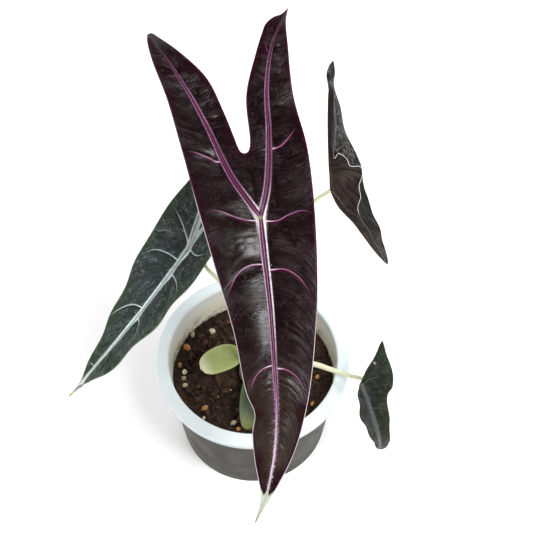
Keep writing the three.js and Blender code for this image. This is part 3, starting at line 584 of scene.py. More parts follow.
def turned(profile, segments, centre=(0, 0), flip=False):
    """Points and faces of a turned form. The profile runs from the axis to the axis."""
    angles = 2 * math.pi * np.arange(segments) / segments
    points, rings, count = [], [], 0
    for radius, height in profile:
        ring = angles if radius else angles[:1]
        rings.append([count + s % len(ring) for s in range(segments)])
        points.append(np.column_stack([centre[0] + radius * np.cos(ring), centre[1] + radius * np.sin(ring),
                                       np.full(len(ring), float(height))]))
        count += len(ring)
    return np.vstack(points), ring_faces(rings, flip)


def arc(x, y, radius, start, end, steps=8):
    """Profile points on a round corner."""
    angles = np.radians(np.linspace(start, end, steps + 1))
    return [(x + radius * math.cos(a), y + radius * math.sin(a)) for a in angles]


def pot_profile():
    """The pot's outline from the axis under its floor, round the rolled rim, to the axis on its floor."""
    lip = POT_HEIGHT - LIP_DROP
    foot, lip_edge, outer_roll, inner_roll = 1, 0.7, 2.3, 1.8
    body = [(BASE_RADIUS + (BODY_TOP_RADIUS - BASE_RADIUS) * t, foot + (lip - 1.6) * t)
            for t in np.linspace(0.1, 1, 12)]
    return [(0, 0), (BASE_RADIUS - 8, 0), *arc(BASE_RADIUS - foot, foot, foot, -90, 0, 6), *body,
            (BODY_TOP_RADIUS + 0.4, lip),
            *arc(RIM_RADIUS - lip_edge, lip + lip_edge, lip_edge, -90, 0, 4),
            *arc(RIM_RADIUS - outer_roll, POT_HEIGHT - outer_roll, outer_roll, 0, 90),
            *arc(OPENING_RADIUS + inner_roll, POT_HEIGHT - inner_roll, inner_roll, 90, 180),
            (OPENING_RADIUS, lip), (BASE_RADIUS - WALL, POT_FLOOR + 1), (BASE_RADIUS - WALL - 1, POT_FLOOR),
            (0, POT_FLOOR)]


def joined(parts):
    """Several pairs of points and faces as one pair."""
    points, faces, count = [], [], 0
    for part_points, part_faces in parts:
        points.append(part_points)
        faces += [tuple(i + count for i in face) for face in part_faces]
        count += len(part_points)
    return np.vstack(points), faces


def build_pot(material):
    """The moulded pot, with its drain holes cut through the floor."""
    pot = make_object("pot_shell", *turned(pot_profile(), POT_SEGMENTS), material)
    bottom, top, sides = -2, 4, 32
    profile = [(0, bottom), (DRAIN_RADIUS, bottom), (DRAIN_RADIUS, top), (0, top)]
    holes = []
    for angle in 2 * math.pi * np.arange(DRAIN_HOLES) / DRAIN_HOLES:
        centre = (DRAIN_CIRCLE * math.cos(angle), DRAIN_CIRCLE * math.sin(angle))
        holes.append(turned(profile, sides, centre))
    cutter = make_object("drain_cutter", *joined(holes), material)
    cut = pot.modifiers.new("drain_holes", "BOOLEAN")
    cut.operation = "DIFFERENCE"
    cut.solver = "EXACT"
    cut.object = cutter
    bpy.context.view_layer.update()
    finished = bpy.data.meshes.new_from_object(pot.evaluated_get(bpy.context.evaluated_depsgraph_get()))
    pot.modifiers.clear()
    pot.data = finished
    bpy.data.objects.remove(cutter)
    return pot


def mix_height(x, y):
    """Height of the mix, as in the solid."""
    rolling = np.sin(x * 0.11 + 1.3) * np.cos(y * 0.13) + 0.5 * np.sin(x * 0.31 - y * 0.27)
    return MIX_LEVEL + 1.4 * rolling + 0.6 * np.sin(x * 0.7) * np.sin(y * 0.8 + 1)


def crumbs(x, y, draw):
    """Fine unevenness: layers of crossing waves at random turns."""
    layers, crossing, longest, shrink, steepness = 5, 4, 7.0, 1.55, 0.035
    height = np.zeros_like(x)
    for k in range(layers):
        length = longest / shrink ** k
        for _ in range(crossing):
            turn, phase = draw.uniform(0, math.pi), draw.uniform(0, 6.28)
            along = x * math.cos(turn) + y * math.sin(turn)
            height += length * steepness * np.sin(2 * math.pi * along / length + phase + np.sin(along))
    return height


def crown_distance(x, y):
    """Distance from the crown's axis."""
    return np.hypot(x - CROWN_CENTRE[0], y - CROWN_CENTRE[1])


def build_mix(material):
    """The body of mix, rough on top, with the hole that the crown stands in."""
    rings, segments, shoulder_height = 70, 220, 50
    profile = [(radius, 0) for radius in np.linspace(0, MIX_RADIUS - 0.35, rings + 1)]
    profile += [(MIX_RADIUS - 1, shoulder_height), (MIX_FOOT_RADIUS, MIX_BOTTOM), (0, MIX_BOTTOM)]
    points, faces = turned(profile, segments, flip=True)
    top = points[:1 + rings * segments]
    x, y = top[:, 0], top[:, 1]
    hole = np.clip((CROWN_HOLE_RADIUS - crown_distance(x, y)) / CROWN_HOLE_SLOPE, 0, 1)
    rough = mix_height(x, y) + crumbs(x, y, np.random.default_rng(11))
    top[:, 2] = rough * (1 - hole) + CROWN_HOLE_FLOOR * hole
    return make_object("mix_body", points, faces, material)


def ball():
    """Points and faces of an icosphere of radius 1."""
    work = bmesh.new()
    bmesh.ops.create_icosphere(work, subdivisions=2, radius=1)
    points = np.array([v.co[:] for v in work.verts])
    faces = [tuple(v.index for v in f.verts) for f in work.faces]
    work.free()
    return points, faces


def rotation(draw):
    """A random turn."""
    return np.array(Quaternion(draw.normal(size=4)).normalized().to_matrix())


def lumps(name, places, stretch, roughness, seed, material):
    """Many uneven grains as one mesh. Each place is x, y and size; stretch gives the three half sizes."""
    draw = np.random.default_rng(seed)
    unit, unit_faces = ball()
    sink = 0.3
    grains, tint = [], []
    for x, y, size in places:
        waves = draw.normal(size=(3, 3)) * 1.6
        bumps = 1 + roughness * sum(np.sin(unit @ w + 2 * w[0]) for w in waves) / 3
        grain = unit * bumps[:, None] * np.array(stretch) * draw.uniform(0.8, 1.2, 3)
        grain = size * grain @ rotation(draw).T
        grains.append((grain + (x, y, mix_height(x, y) + size * (min(stretch) - sink)), unit_faces))
        tint.append(np.tile([draw.uniform(), draw.uniform(), size], (len(unit), 1)))
    return make_object(name, *joined(grains), material, zone=np.vstack(tint))


def scattered(count, small, large, seed):
    """Random places on the mix, clear of the crown."""
    draw = np.random.default_rng(seed)
    reach = MIX_RADIUS - 4
    places = []
    while len(places) < count:
        radius, angle = reach * math.sqrt(draw.uniform()), draw.uniform(0, 2 * math.pi)
        x, y = radius * math.cos(angle), radius * math.sin(angle)
        size = draw.uniform(small, large)
        if crown_distance(x, y) > CROWN_CLEARANCE + size and radius < reach - size:
            places.append((x, y, size))
    return places


def linear(colour):
    """A colour given as on a screen, 0 to 255, as linear light. Colours made by nodes pass unchanged."""
    if isinstance(colour, Value):
        return colour
    return *(((v / 255 + 0.055) / 1.055) ** 2.4 if v > 10 else v / 255 / 12.92 for v in colour), 1.0


def fill_inputs(tree, node, inputs):
    """Feeds values, numbers and colours to the inputs of a node."""
    for name, value in dict(inputs).items():
        if isinstance(value, Value):
            tree.links.new(value.socket, node.inputs[name])
        else:
            node.inputs[name].default_value = value


class Value:
    """An output of a shader node, with arithmetic and short calls for the nodes that it can feed."""

    def __init__(self, tree, kind, inputs=(), output=0, **settings):
        node = tree.nodes.new("ShaderNode" + kind)
        for name, setting in settings.items():
            setattr(node, name, setting)
        fill_inputs(tree, node, inputs)
        self.tree, self.socket = tree, node.outputs[output]

    def math(self, operation, other=0.0):
        return Value(self.tree, "Math", {0: self, 1: other}, operation=operation)

    __add__ = partialmethod(math, "ADD")
    __sub__ = partialmethod(math, "SUBTRACT")
    __mul__ = partialmethod(math, "MULTIPLY")
    __truediv__ = partialmethod(math, "DIVIDE")
    __abs__ = partialmethod(math, "ABSOLUTE")

    def ramp(self, low, high, start=0.0, end=1.0):
        """The value from low to high comes out as start to end, smoothly, and stays there outside."""
        inputs = enumerate((self, low, high, start, end))
        return Value(self.tree, "MapRange", inputs, interpolation_type="SMOOTHSTEP")

    def line(self, half_width, softness):
        """1 on a line and 0 away from it, from a signed or plain distance."""
        return abs(self).ramp(half_width, half_width + softness, 1.0, 0.0)

    def blend(self, a, b):
        """Colour a where the value is 0 and colour b where it is 1."""
        return Value(self.tree, "Mix", {"Factor": self, 6: linear(a), 7: linear(b)}, 2, data_type="RGBA")

    def noise(self, scale, detail=3.0, roughness=0.5, distortion=0.0):
        inputs = {"Vector": self, "Scale": scale, "Detail": detail, "Roughness": roughness}
        return Value(self.tree, "TexNoise", {**inputs, "Distortion": distortion})

    def cells(self, scale):
        return Value(self.tree, "TexVoronoi", {"Vector": self, "Scale": scale}, "Distance")

    def split(self):
        return [Value(self.tree, "SeparateXYZ", {0: self}, k) for k in range(3)]


def combined(x, y, z=0.0):
    """Three values as one vector."""
    return Value(x.tree, "CombineXYZ", enumerate((x, y, z)))


def painted(colour, layers):
    """A colour with layers over it. Each layer is how much it covers, and its own colour."""
    for amount, tint in layers:
        colour = amount.blend(colour, tint)
    return colour


class Look:
    """One node material."""

    def __init__(self, name):
        self.material = bpy.data.materials.new(name)
        self.material.use_nodes = True
        self.tree = self.material.node_tree
        self.spot = Value(self.tree, "TexCoord", output="Object")

    def attribute(self, name):
        """The three values that each mesh point carries under the name."""
        return Value(self.tree, "Attribute", output="Vector", attribute_name=name).split()

    def finish(self, colour, roughness, specular, height=None, depth_mm=0.0, soft=(0.0, 1.5), glow=0.0):
        """The finished material. Soft is how much light goes in under the skin, and how many mm deep."""
        inputs = {"Base Color": colour, "Roughness": roughness, "Specular IOR Level": specular,
                  "Subsurface Weight": soft[0], "Subsurface Scale": soft[1] * METRE,
                  "Emission Color": (1, 1, 1, 1), "Emission Strength": glow}
        if height is not None:
            bump = {"Height": height, "Distance": depth_mm * METRE, "Strength": 1.0}
            inputs["Normal"] = Value(self.tree, "Bump", bump)
        fill_inputs(self.tree, self.tree.nodes["Principled BSDF"], inputs)
        return self.material


def leaf_fields(look, tone):
    """The values that a blade's points carry, and what several layers of its colour share."""
    at = Shape(spot=look.spot)
    at.rib, at.vein, at.edge = look.attribute("veins")
    at.warped, at.beside, at.station = look.attribute("grain")
    at.under, at.along, at.strength = look.attribute("zone")
    fold, folded, seam = look.attribute("folds")
    # Masks for the painted shade in the creases and the painted highlight on the crests of the puckers
    at.crease = fold.ramp(0.02, 0.3, 1, 0) * folded
    at.crest = fold.ramp(0.35, 0.8) * folded
    at.away = abs(at.along)
    at.right = at.beside.ramp(-0.3, 0.3)
    at.mottle = at.spot.noise(130, 4, 0.6)
    at.net = at.spot.noise(tone.squiggle_scale, 2, 0.5, 1)
    streaks = combined(at.warped * tone.pucker_along, at.beside * 0.16).noise(1, 3, 0.6, 0.5) - 0.5
    at.pucker = streaks * at.spot.noise(48, 1).ramp(0.4, 0.6, 0.25, 1) * seam.ramp(0.7, 0.92, 1, 0)
    return at


def sheet_layers(at, tone):
    """The blade between its veins: mottled, clouded, browner towards the tip, dark along the margin, with
    painted highlights on the crests of its puckers and painted shade in their creases.
    """
    return [(at.mottle.ramp(0.35, 0.7), tone.mottle),
            (at.spot.noise(24, 2).ramp(0.42, 0.75, 0, 0.6), tone.cloud),
            (at.along.ramp(0.3, 0.8, 0, 0.85), tone.tipward),
            (at.edge.line(1.5, 6) * at.spot.noise(31, 3, 0.6).ramp(0.4, 0.6), tone.rim_cloud),
            (at.edge.line(0.8, 1.2), tone.rim_band),
            # Painted highlight: the crest tone lightens the crests of the puckers and, where left_lift is
            # set, the whole left half
            (at.crest * tone.crests, tone.crest),
            (at.pucker.ramp(0.02, 0.2, 0, 0.3), tone.crest),
            (at.right.ramp(0, 1, tone.left_lift, 0), tone.crest),
            # Painted shade: the deep tone darkens the creases and the valleys between the puckers
            ((at.crease * 0.9).math("MAXIMUM", at.pucker.ramp(-0.2, -0.02, 0.7, 0)), tone.deep)]


def net_layers(at, tone):
    """Short pale lines, where the raised net of the blade catches the light, and specks in loose groups."""
    thin = (at.net - 0.5).line(0.006, 0.035) * at.spot.noise(tone.squiggle_scale * 0.9, 1).ramp(0.45, 0.6)
    plain_tip = at.along.ramp(tone.squiggles_to, tone.squiggles_to + 0.1, 1, 0)
    dots = at.spot.cells(420).ramp(0.1, 0.2, 1, 0) * at.spot.noise(28, 2).ramp(0.5, 0.62)
    return [(thin * plain_tip * tone.squiggles, tone.squiggle), (dots * tone.specks, tone.cloud)]


def side_vein_layers(at, tone):
    """A thin bright line with a darker band on its tipward side, both fading out along the vein."""
    return [(at.vein.line(0.5, 2) * at.strength.ramp(0.1, 1, 0, 0.4), tone.vein_halo),
            ((at.vein - 1.5).line(0.9, 0.9) * at.strength.ramp(0, 0.5) * 0.9, tone.vein_shadow),
            (at.vein.line(0.25, 0.65) * at.strength.ramp(0, 0.7), tone.vein),
            (at.vein.line(0.15, 0.7) * at.strength.ramp(0.9, 1) * 0.75, tone.rib_bright)]


def rib_layers(at, tone):
    """Two bright edges with a darker channel between, brightest by the stalk and on the right."""
    rib, along, away, right = at.rib, at.along, at.away, at.right
    shown = along.ramp(-0.02, 0.02, tone.lobe_ribs, 1) * along.ramp(-1, -0.55, 0.15, 1)
    glow = rib.line(0.8, 0.7) * away.ramp(0, 0.07, tone.glow, 0) * along.ramp(-0.03, 0, 0.45, 1)
    speckle = at.spot.noise(700, 3, 0.7).ramp(0.3, 0.62, 0.25, 1)
    width = right.ramp(0, 1, 0.03, 0.1) + away.ramp(0.1, 0.6, 0, 0.1)
    edge = (rib - along.ramp(0.5, 0.75, 0.78, 0.3)).line(width, 0.17) * shown
    grit = at.spot.noise(900, 2, 0.6).ramp(0.35, 0.6, 0.5, 1)
    inner_lobe = along.ramp(-0.55, -0.4) * along.ramp(-0.1, 0, 1, 0) * right
    edge = edge * (away.ramp(0, 0.1) * (grit - 1) + 1) * inner_lobe.ramp(0, 1, 1, 0.6)
    near = away.ramp(along.ramp(-0.05, 0.05, 0.03, 0.22), along.ramp(-0.05, 0.05, 0.22, 0.5), 1, 0)
    bright = near * right.ramp(0, 1, tone.left_bright, 1)
    channel = rib.line(0.38, 0.2) * along.ramp(0.5, tone.channel_end, 1, 0) * shown
    core = rib.line(along.ramp(0.45, 0.8, 0.03, 0.45), along.ramp(0.4, 0.8, 0.13, 0.6)) * shown
    core = core * along.ramp(0.3, 0.75, 0.75, 0.95) * along.ramp(-0.1, 0, 0.45, 1)
    joint = (rib - 0.25).line(0.12, 0.25) * away.ramp(0.003, 0.009, 0.9, 0)
    return [(rib.line(0.85, 0.45) * shown, tone.rib_halo), (glow * speckle, tone.glow_tone),
            (edge, bright.blend(tone.rib_edge, tone.rib_bright)), (channel, tone.channel),
            (core, along.ramp(0.5, 0.82).blend(tone.rib_middle, tone.core_end)), (joint, tone.joint)]


def fringe_layers(at, tone):
    """Tiny cross veins that make the outer part of the midrib look frayed."""
    reach = combined(at.station * 2.2, at.beside * 0.35).noise(1, 3, 0.7).ramp(0.4, 0.68, 0.9, 2.7)
    fray = (at.rib / reach).ramp(0.3, 1, 1, 0) * at.rib.ramp(0.25, 0.75, 0.25, 1)
    span = at.along.ramp(0.42, 0.62) * at.along.ramp(0.84, 0.9, 1, 0)
    tint = at.along.ramp(0.6, 0.85).blend(tone.fringe_tone, tone.core_end)
    tint = at.spot.noise(1100, 2, 0.6).ramp(0.4, 0.6).blend(tone.rib_halo, tint)
    return [(fray * span * tone.fringe, tint)]


def margin_layers(at, tone):
    """The thin edge line, the ends of the lobes and the pale drip tip."""
    start = at.right.ramp(0, 1, tone.left_margin_from, tone.right_margin_from)
    shown = (at.along - start).ramp(-0.06, 0.06) * at.along.ramp(tone.margin_to - 0.05, tone.margin_to, 1, 0)
    line_tone = (shown * at.right.ramp(0, 1, 1, tone.right_margin)).blend(tone.margin_dull, tone.margin)
    inside = at.edge.math("MINIMUM", at.rib * 0.7)
    drip = ((at.along - tone.drip_from) * 50 - inside).ramp(-0.3, 0.5)
    lobe_end = at.along.ramp(-0.99, -0.86, 1, 0) * at.right.ramp(0, 1, *tone.lobe_end_shares)
    return [(at.edge.line(tone.edge_line, 0.2), line_tone), (lobe_end, tone.lobe_end),
            (drip, at.along.ramp(0.93, 1).blend(tone.drip, tone.drip_end))]


def underside_layers(at, tone):
    """The lower side, with fine lines that fan out from the stalk."""
    fan = abs(at.beside).math("ARCTAN2", at.station + 14)
    lines = combined(fan * 14, at.station * 0.03).noise(1, 3, 0.65)
    return [(at.mottle.ramp(0.3, 0.7), tone.under_mottle), (lines.ramp(0.36, 0.5, 0.9, 0), tone.under_line),
            (lines.ramp(0.54, 0.66, 0, 0.7), tone.under_mottle),
            (at.along.ramp(-0.5, -0.2, tone.under_dark, 0), tone.under_line),
            (at.vein.line(0.4, 0.7) * at.strength, tone.under_vein),
            (at.rib.line(0.8, 0.5) * 0.7, tone.under_rib)]


def fleck_layers(at, tone):
    """One small dry pale fleck."""
    centre = [v * METRE for v in tone.fleck_at]
    apart = Value(at.spot.tree, "VectorMath", {0: at.spot, 1: centre}, "Value", operation="DISTANCE")
    wobbly = apart * (1 / METRE) + at.spot.noise(900, 2, 0.6) * 1.2
    return [(wobbly.ramp(1.4, 2, 0.8, 0), tone.fleck)]


def leaf_look(name, tone):
    """A leathery blade: its upper side with ribs, veins and puckers, and its plainer lower side."""
    look = Look(name)
    at = leaf_fields(look, tone)
    margin = margin_layers(at, tone)
    upper = sheet_layers(at, tone) + net_layers(at, tone) + side_vein_layers(at, tone) + rib_layers(at, tone)
    if tone.fringe:
        upper += fringe_layers(at, tone)
    upper = painted(tone.sheet, upper + margin)
    colour = at.under.blend(upper, painted(tone.under, underside_layers(at, tone) + margin))
    if tone.fleck_at:
        colour = painted(colour, fleck_layers(at, tone))
    gloss = at.mottle.ramp(0.3, 0.7, tone.roughness - 0.05, tone.roughness + 0.07)
    middle = at.along.ramp(-0.6, -0.35) * at.along.ramp(0.42, 0.55, 1, 0)
    specular = (middle * at.right).ramp(0, 1, 1, tone.right_shine) * tone.specular
    height = at.pucker * 0.5 + (at.spot.noise(900, 2) - 0.5) * 0.04 + at.net.ramp(0.35, 0.65) * tone.net
    return look.finish(colour, gloss + at.under * 0.2 + at.crease * 0.25, specular, height, 0.6)


COMMON_TONES = dict(crests=0.5, left_lift=0.0, right_shine=1.0, under_dark=0.0, lobe_ribs=1.0, fringe=0.0,
                    margin_to=1.2, roughness=0.42, net=0.4, pucker_along=0.8, fleck_at=None)


def leaf_tones(**own):
    """How a blade looks, with colours as on a screen. What isn't given is as on most of the blades."""
    return Shape(**{**COMMON_TONES, **own})


FRONT_TONE = leaf_tones(
    lobe_end_shares=(0.15, 0.7), glow=1.0, left_bright=0.3, channel_end=0.74, fringe=0.7,
    left_margin_from=-0.12, right_margin_from=0.3, right_margin=0.9, edge_line=0.2, drip_from=0.865,
    squiggle_scale=210, squiggles=0.15, squiggles_to=0.8, specks=0.5, roughness=0.22, specular=0.2,
    right_shine=0.4, net=0.02, pucker_along=1.1, lobe_end=(70, 70, 66), under_vein=(150, 112, 124),
    deep=(10, 5, 7), sheet=(18, 7, 9), mottle=(27, 14, 16), cloud=(38, 27, 27), tipward=(56, 44, 36),
    rim_cloud=(30, 9, 17), rim_band=(38, 9, 24), crest=(66, 54, 54), squiggle=(90, 84, 82),
    vein=(148, 100, 132), vein_shadow=(58, 10, 36), vein_halo=(62, 34, 50), rib_halo=(62, 26, 46),
    rib_edge=(146, 102, 134), rib_bright=(236, 228, 232), rib_middle=(152, 110, 144), channel=(68, 20, 48),
    glow_tone=(226, 222, 217), joint=(124, 138, 86), fringe_tone=(176, 130, 166), core_end=(234, 216, 230),
    margin=(206, 194, 196), margin_dull=(92, 40, 68), drip=(190, 196, 178), drip_end=(138, 150, 98),
    under=(76, 34, 54), under_mottle=(100, 52, 72), under_line=(56, 24, 40), under_rib=(150, 112, 124))
LEFT_TONE = leaf_tones(
    lobe_end_shares=(0.3, 0.3), glow=0.8, left_bright=0.95, channel_end=0.7, fringe=0.35,
    left_margin_from=-0.5, right_margin_from=-0.5, right_margin=0.8, edge_line=0.18, drip_from=0.95,
    squiggle_scale=270, squiggles=0.6, squiggles_to=0.9, specks=0.3, specular=0.2, lobe_end=(52, 62, 52),
    under_vein=(160, 164, 140), deep=(18, 24, 22), sheet=(22, 30, 26), mottle=(36, 46, 41),
    cloud=(50, 60, 58), tipward=(42, 58, 38), rim_cloud=(44, 62, 38), rim_band=(40, 56, 36),
    crest=(84, 92, 94), squiggle=(112, 122, 124), vein=(184, 198, 195), vein_shadow=(28, 36, 34),
    vein_halo=(112, 128, 126), rib_halo=(150, 166, 163), rib_edge=(238, 246, 246),
    rib_bright=(246, 251, 250), rib_middle=(238, 245, 245), channel=(172, 188, 186),
    glow_tone=(190, 204, 196), joint=(140, 168, 116), fringe_tone=(166, 180, 178), core_end=(222, 230, 228),
    margin=(150, 160, 148), margin_dull=(112, 122, 110), drip=(196, 206, 170), drip_end=(206, 212, 170),
    under=(84, 84, 76), under_mottle=(102, 98, 88), under_line=(70, 66, 60), under_rib=(160, 164, 140))
# This leaf barely shines: its grey cloud and tipward tones are partly painted sheen
RIGHT_TONE = leaf_tones(
    lobe_end_shares=(0.5, 0.5), under_dark=0.75, lobe_ribs=0.7, glow=0.2, left_bright=0.6, channel_end=0.8,
    left_margin_from=-0.45, right_margin_from=2.0, right_margin=0.0, margin_to=0.2, edge_line=0.04,
    drip_from=0.96, squiggle_scale=300, squiggles=0.9, squiggles_to=-0.05, specks=0.2, specular=0.07,
    lobe_end=(58, 56, 54), under_vein=(142, 128, 124), deep=(10, 8, 7), sheet=(18, 16, 15),
    mottle=(34, 32, 30), cloud=(56, 54, 52), tipward=(70, 66, 64), rim_cloud=(26, 24, 22),
    rim_band=(30, 27, 25), crest=(84, 82, 80), squiggle=(118, 116, 114), vein=(112, 108, 104),
    vein_shadow=(34, 30, 28), vein_halo=(66, 60, 58), rib_halo=(60, 54, 52), rib_edge=(96, 90, 86),
    rib_bright=(120, 114, 108), rib_middle=(100, 94, 90), channel=(70, 62, 60), glow_tone=(110, 108, 96),
    joint=(110, 128, 76), core_end=(96, 90, 86), margin=(216, 214, 210), margin_dull=(96, 91, 88),
    drip=(104, 102, 96), drip_end=(110, 108, 100), under=(45, 35, 32), under_mottle=(80, 69, 65),
    under_line=(16, 9, 9), under_rib=(66, 54, 50))
LOW_TONE = leaf_tones(
    lobe_end_shares=(0.3, 0.3), fleck_at=(71.2, -25.4, 119.9), left_lift=0.4, crests=0.4, lobe_ribs=0.0,
    glow=0.3, left_bright=0.8, channel_end=0.9, left_margin_from=-0.5, right_margin_from=-0.5,
    right_margin=0.6, edge_line=0.15, drip_from=0.98, squiggle_scale=340, squiggles=0.45, squiggles_to=0.8,
    specks=0.2, specular=0.13, net=0.3, lobe_end=(34, 42, 30), fleck=(190, 188, 182),
    under_vein=(120, 120, 100), deep=(14, 17, 12), sheet=(13, 16, 11), mottle=(24, 29, 21),
    cloud=(36, 41, 33), tipward=(32, 36, 29), rim_cloud=(32, 42, 25), rim_band=(32, 40, 26),
    crest=(60, 66, 58), squiggle=(76, 82, 74), vein=(88, 94, 86), vein_shadow=(20, 24, 18),
    vein_halo=(48, 54, 46), rib_halo=(56, 61, 55), rib_edge=(88, 93, 88), rib_bright=(88, 92, 87),
    rib_middle=(90, 95, 90), channel=(82, 87, 82), glow_tone=(82, 90, 74), joint=(112, 124, 88),
    core_end=(104, 108, 104), margin=(74, 82, 66), margin_dull=(66, 74, 58), drip=(70, 74, 66),
    drip_end=(74, 78, 68), under=(64, 60, 52), under_mottle=(82, 78, 66), under_line=(50, 46, 40),
    under_rib=(120, 120, 100))


def stalk_look(name, foot, middle, neck, fleck):
    """A smooth stalk that changes colour on its way up, with faint lengthways flecks."""
    look = Look(name)
    share, length, angle = look.attribute("zone")
    flecks = combined(length * 0.35, angle * 2.5).noise(1.4, 4, 0.65)
    colour = painted(foot, [(share.ramp(0, 0.35), middle), (share.ramp(0.6, 1), neck),
                            (flecks.ramp(0.5, 0.72, 0, 0.55), fleck)])
    lines = combined(length * 0.1, angle * 4).noise(2, 2)
    return look.finish(colour, flecks.ramp(0.3, 0.7, 0.34, 0.5), 0.4, lines, 0.12, (0.15, 1.5))


def short_leaf_look(name, middle, edge, tip, vein):
    """A thick young leaf with faint lengthways veins and a paler end."""
    look = Look(name)
    across, share, beside = look.attribute("zone")
    cloud = look.spot.noise(90, 3, 0.6)
    lines = combined(beside * 1.4, share * 1.2).noise(1.3, 2)
    colour = painted(middle, [(cloud.ramp(0.35, 0.7, 0, 0.5), edge), (abs(across).ramp(0.55, 1), edge),
                              (share.ramp(0.6, 0.95), tip), (lines.ramp(0.5, 0.65, 0, 0.5), vein)])
    return look.finish(colour, cloud.ramp(0.3, 0.7, 0.38, 0.52), 0.4, lines + cloud * 0.4, 0.2, (0.2, 2))


def pot_look():
    """White moulded plastic. Painted shade makes the outer wall dark below the rim and the rim's outer lip
    greyer low down, painted light makes the inner wall a light cream, and the inner wall has brown patches
    low down by the mix.
    """
    look = Look("pot_plastic")
    spot = look.spot
    x, y, z = spot.split()
    radius = (x * x + y * y).math("SQRT")
    slope = (BODY_TOP_RADIUS - BASE_RADIUS) / (POT_HEIGHT - LIP_DROP)
    outside = radius.math("GREATER_THAN", z * slope + (BASE_RADIUS - WALL / 2) * METRE)
    inside = radius.math("LESS_THAN", (OPENING_RADIUS + 0.3) * METRE).math("GREATER_THAN", outside)
    lip = (POT_HEIGHT - LIP_DROP) * METRE
    below_lip = z.ramp(lip - 0.6 * METRE, lip + 0.1 * METRE, 1, 0)
    haze = spot.noise(60)
    bands = combined(x * 20, y * 20, z * 260).noise(1, 3, 0.6)
    # Painted shade: the outer wall below the rim is painted dark grey-olive, with faint bands
    body = painted((47, 43, 30), [(z.ramp(0, 0.06), (49, 46, 36)),
                                  (bands.ramp(0.45, 0.7, 0, 0.4), (66, 64, 54))])
    # Painted light: the inner wall is painted a light cream, warmer lower down, as if lit through the thin
    # wall
    cream = z.ramp(0.06, 0.082).blend((236, 233, 212), (244, 246, 240))
    # Brown patches low on the inner wall, next to the mix
    brown_by_mix = spot.noise(150, 4, 0.65).ramp(0.45, 0.65) * z.ramp(0.061, 0.071, 1, 0)
    colour = painted((224, 236, 238), [(haze.ramp(0.3, 0.7), (230, 240, 241)),
                                       # Painted shade: the rim's outer lip greys towards its lower edge
                                       (z.ramp(lip, lip + 5.5 * METRE, 0.9, 0), (182, 193, 192)),
                                       (below_lip * outside, body),
                                       (inside * z.ramp(0.074, 0.0825, 1, 0.6), cream),
                                       (brown_by_mix * inside * 0.6, (110, 92, 70))])
    scuffs = combined(x * 200, y * 200, z * 1400).noise(1, 3, 0.6) + spot.noise(1500, 1)
    return look.finish(colour, haze.ramp(0.3, 0.7, 0.42, 0.56), 0.2, scuffs, 0.03, (0.1, 1.5))


def mix_look():
    """Dark damp peat and bark."""
    look = Look("dark_mix")
    fine = look.spot.noise(500, 5, 0.7)
    cloud = look.spot.noise(110, 3, 0.6).ramp(0.5, 0.7, 0, 0.6)
    colour = painted((30, 20, 15), [(fine.ramp(0.35, 0.68), (66, 47, 34)), (cloud, (78, 55, 42))])
    return look.finish(colour, fine.ramp(0.3, 0.7, 0.7, 0.95), 0.25, fine + look.spot.cells(420), 1)


def grain_look(name, dark, light):
    """Granules or chips, each of its own shade between two colours."""
    look = Look(name)
    shade = look.attribute("zone")[0]
    fine = look.spot.noise(700, 4, 0.7)
    colour = painted(dark, [(shade, light), (fine.ramp(0.5, 0.75, 0, 0.5), dark)])
    return look.finish(colour, 0.8, 0.3, fine + look.spot.cells(900), 0.35)


def crown_look():
    """The short stem: pale green skin with brown leaf scars."""
    look = Look("crown_skin")
    x, y, z = look.spot.split()
    rings = combined(x * 60, y * 60, z * 900).noise(1, 3, 0.6)
    colour = rings.ramp(0.4, 0.62).blend((150, 150, 104), (104, 82, 56))
    return look.finish(colour, rings.ramp(0.3, 0.7, 0.5, 0.75), 0.3, rings, 0.5)


def floor_look():
    """A plain pale sweep, close to white."""
    look = Look("pale_floor")
    colour = look.spot.noise(3, 2).blend((246, 246, 246), (250, 250, 250))
    return look.finish(colour, 0.7, 0.1, glow=0.28)


def build_floor():
    """The surface that the pot stands on."""
    reach, drop = 3000, 0.02
    points = [(x * reach, y * reach, -drop) for x, y in ((-1, -1), (1, -1), (1, 1), (-1, 1))]
    floor = make_object("floor", points, [(0, 1, 2, 3)], floor_look())


def add_light(name, place_mm, size_mm, power, aim=(0, 0, 150)):
    """A soft rectangular light that faces the plant."""
    data = bpy.data.lights.new(name, "AREA")
    data.shape = "RECTANGLE"
    data.size, data.size_y = size_mm[0] * METRE, size_mm[1] * METRE
    data.energy = power
    light = add_to_scene(name, data)
    light.location = Vector(place_mm) * METRE
    light.rotation_euler = (Vector(aim) - Vector(place_mm)).to_track_quat("-Z", "Y").to_euler()


def add_world(low_strength, high_strength):
    """Pale studio walls all round, with a dim ceiling so that dark leaves stay dark."""
    world = bpy.data.worlds.new("studio")
    bpy.context.scene.world = world
    world.use_nodes = True
    tree = world.node_tree
    height = Value(tree, "TexCoord", output="Generated").split()[2]
    strength = height.ramp(0.08, 0.4, low_strength, high_strength)
    fill_inputs(tree, tree.nodes["Background"], {"Color": (1, 1, 1, 1), "Strength": strength})


def add_camera():
    """The camera at the photo's place and angle."""
    data = bpy.data.cameras.new("camera")
    data.lens = CAMERA_LENS
    data.sensor_width = 36
    data.clip_start = 0.01
    camera = add_to_scene("camera", data)
    camera.location = Vector(CAMERA_PLACE) * METRE
    camera.rotation_euler = (math.radians(90 - CAMERA_ELEVATION), 0, 0)
    bpy.context.scene.camera = camera


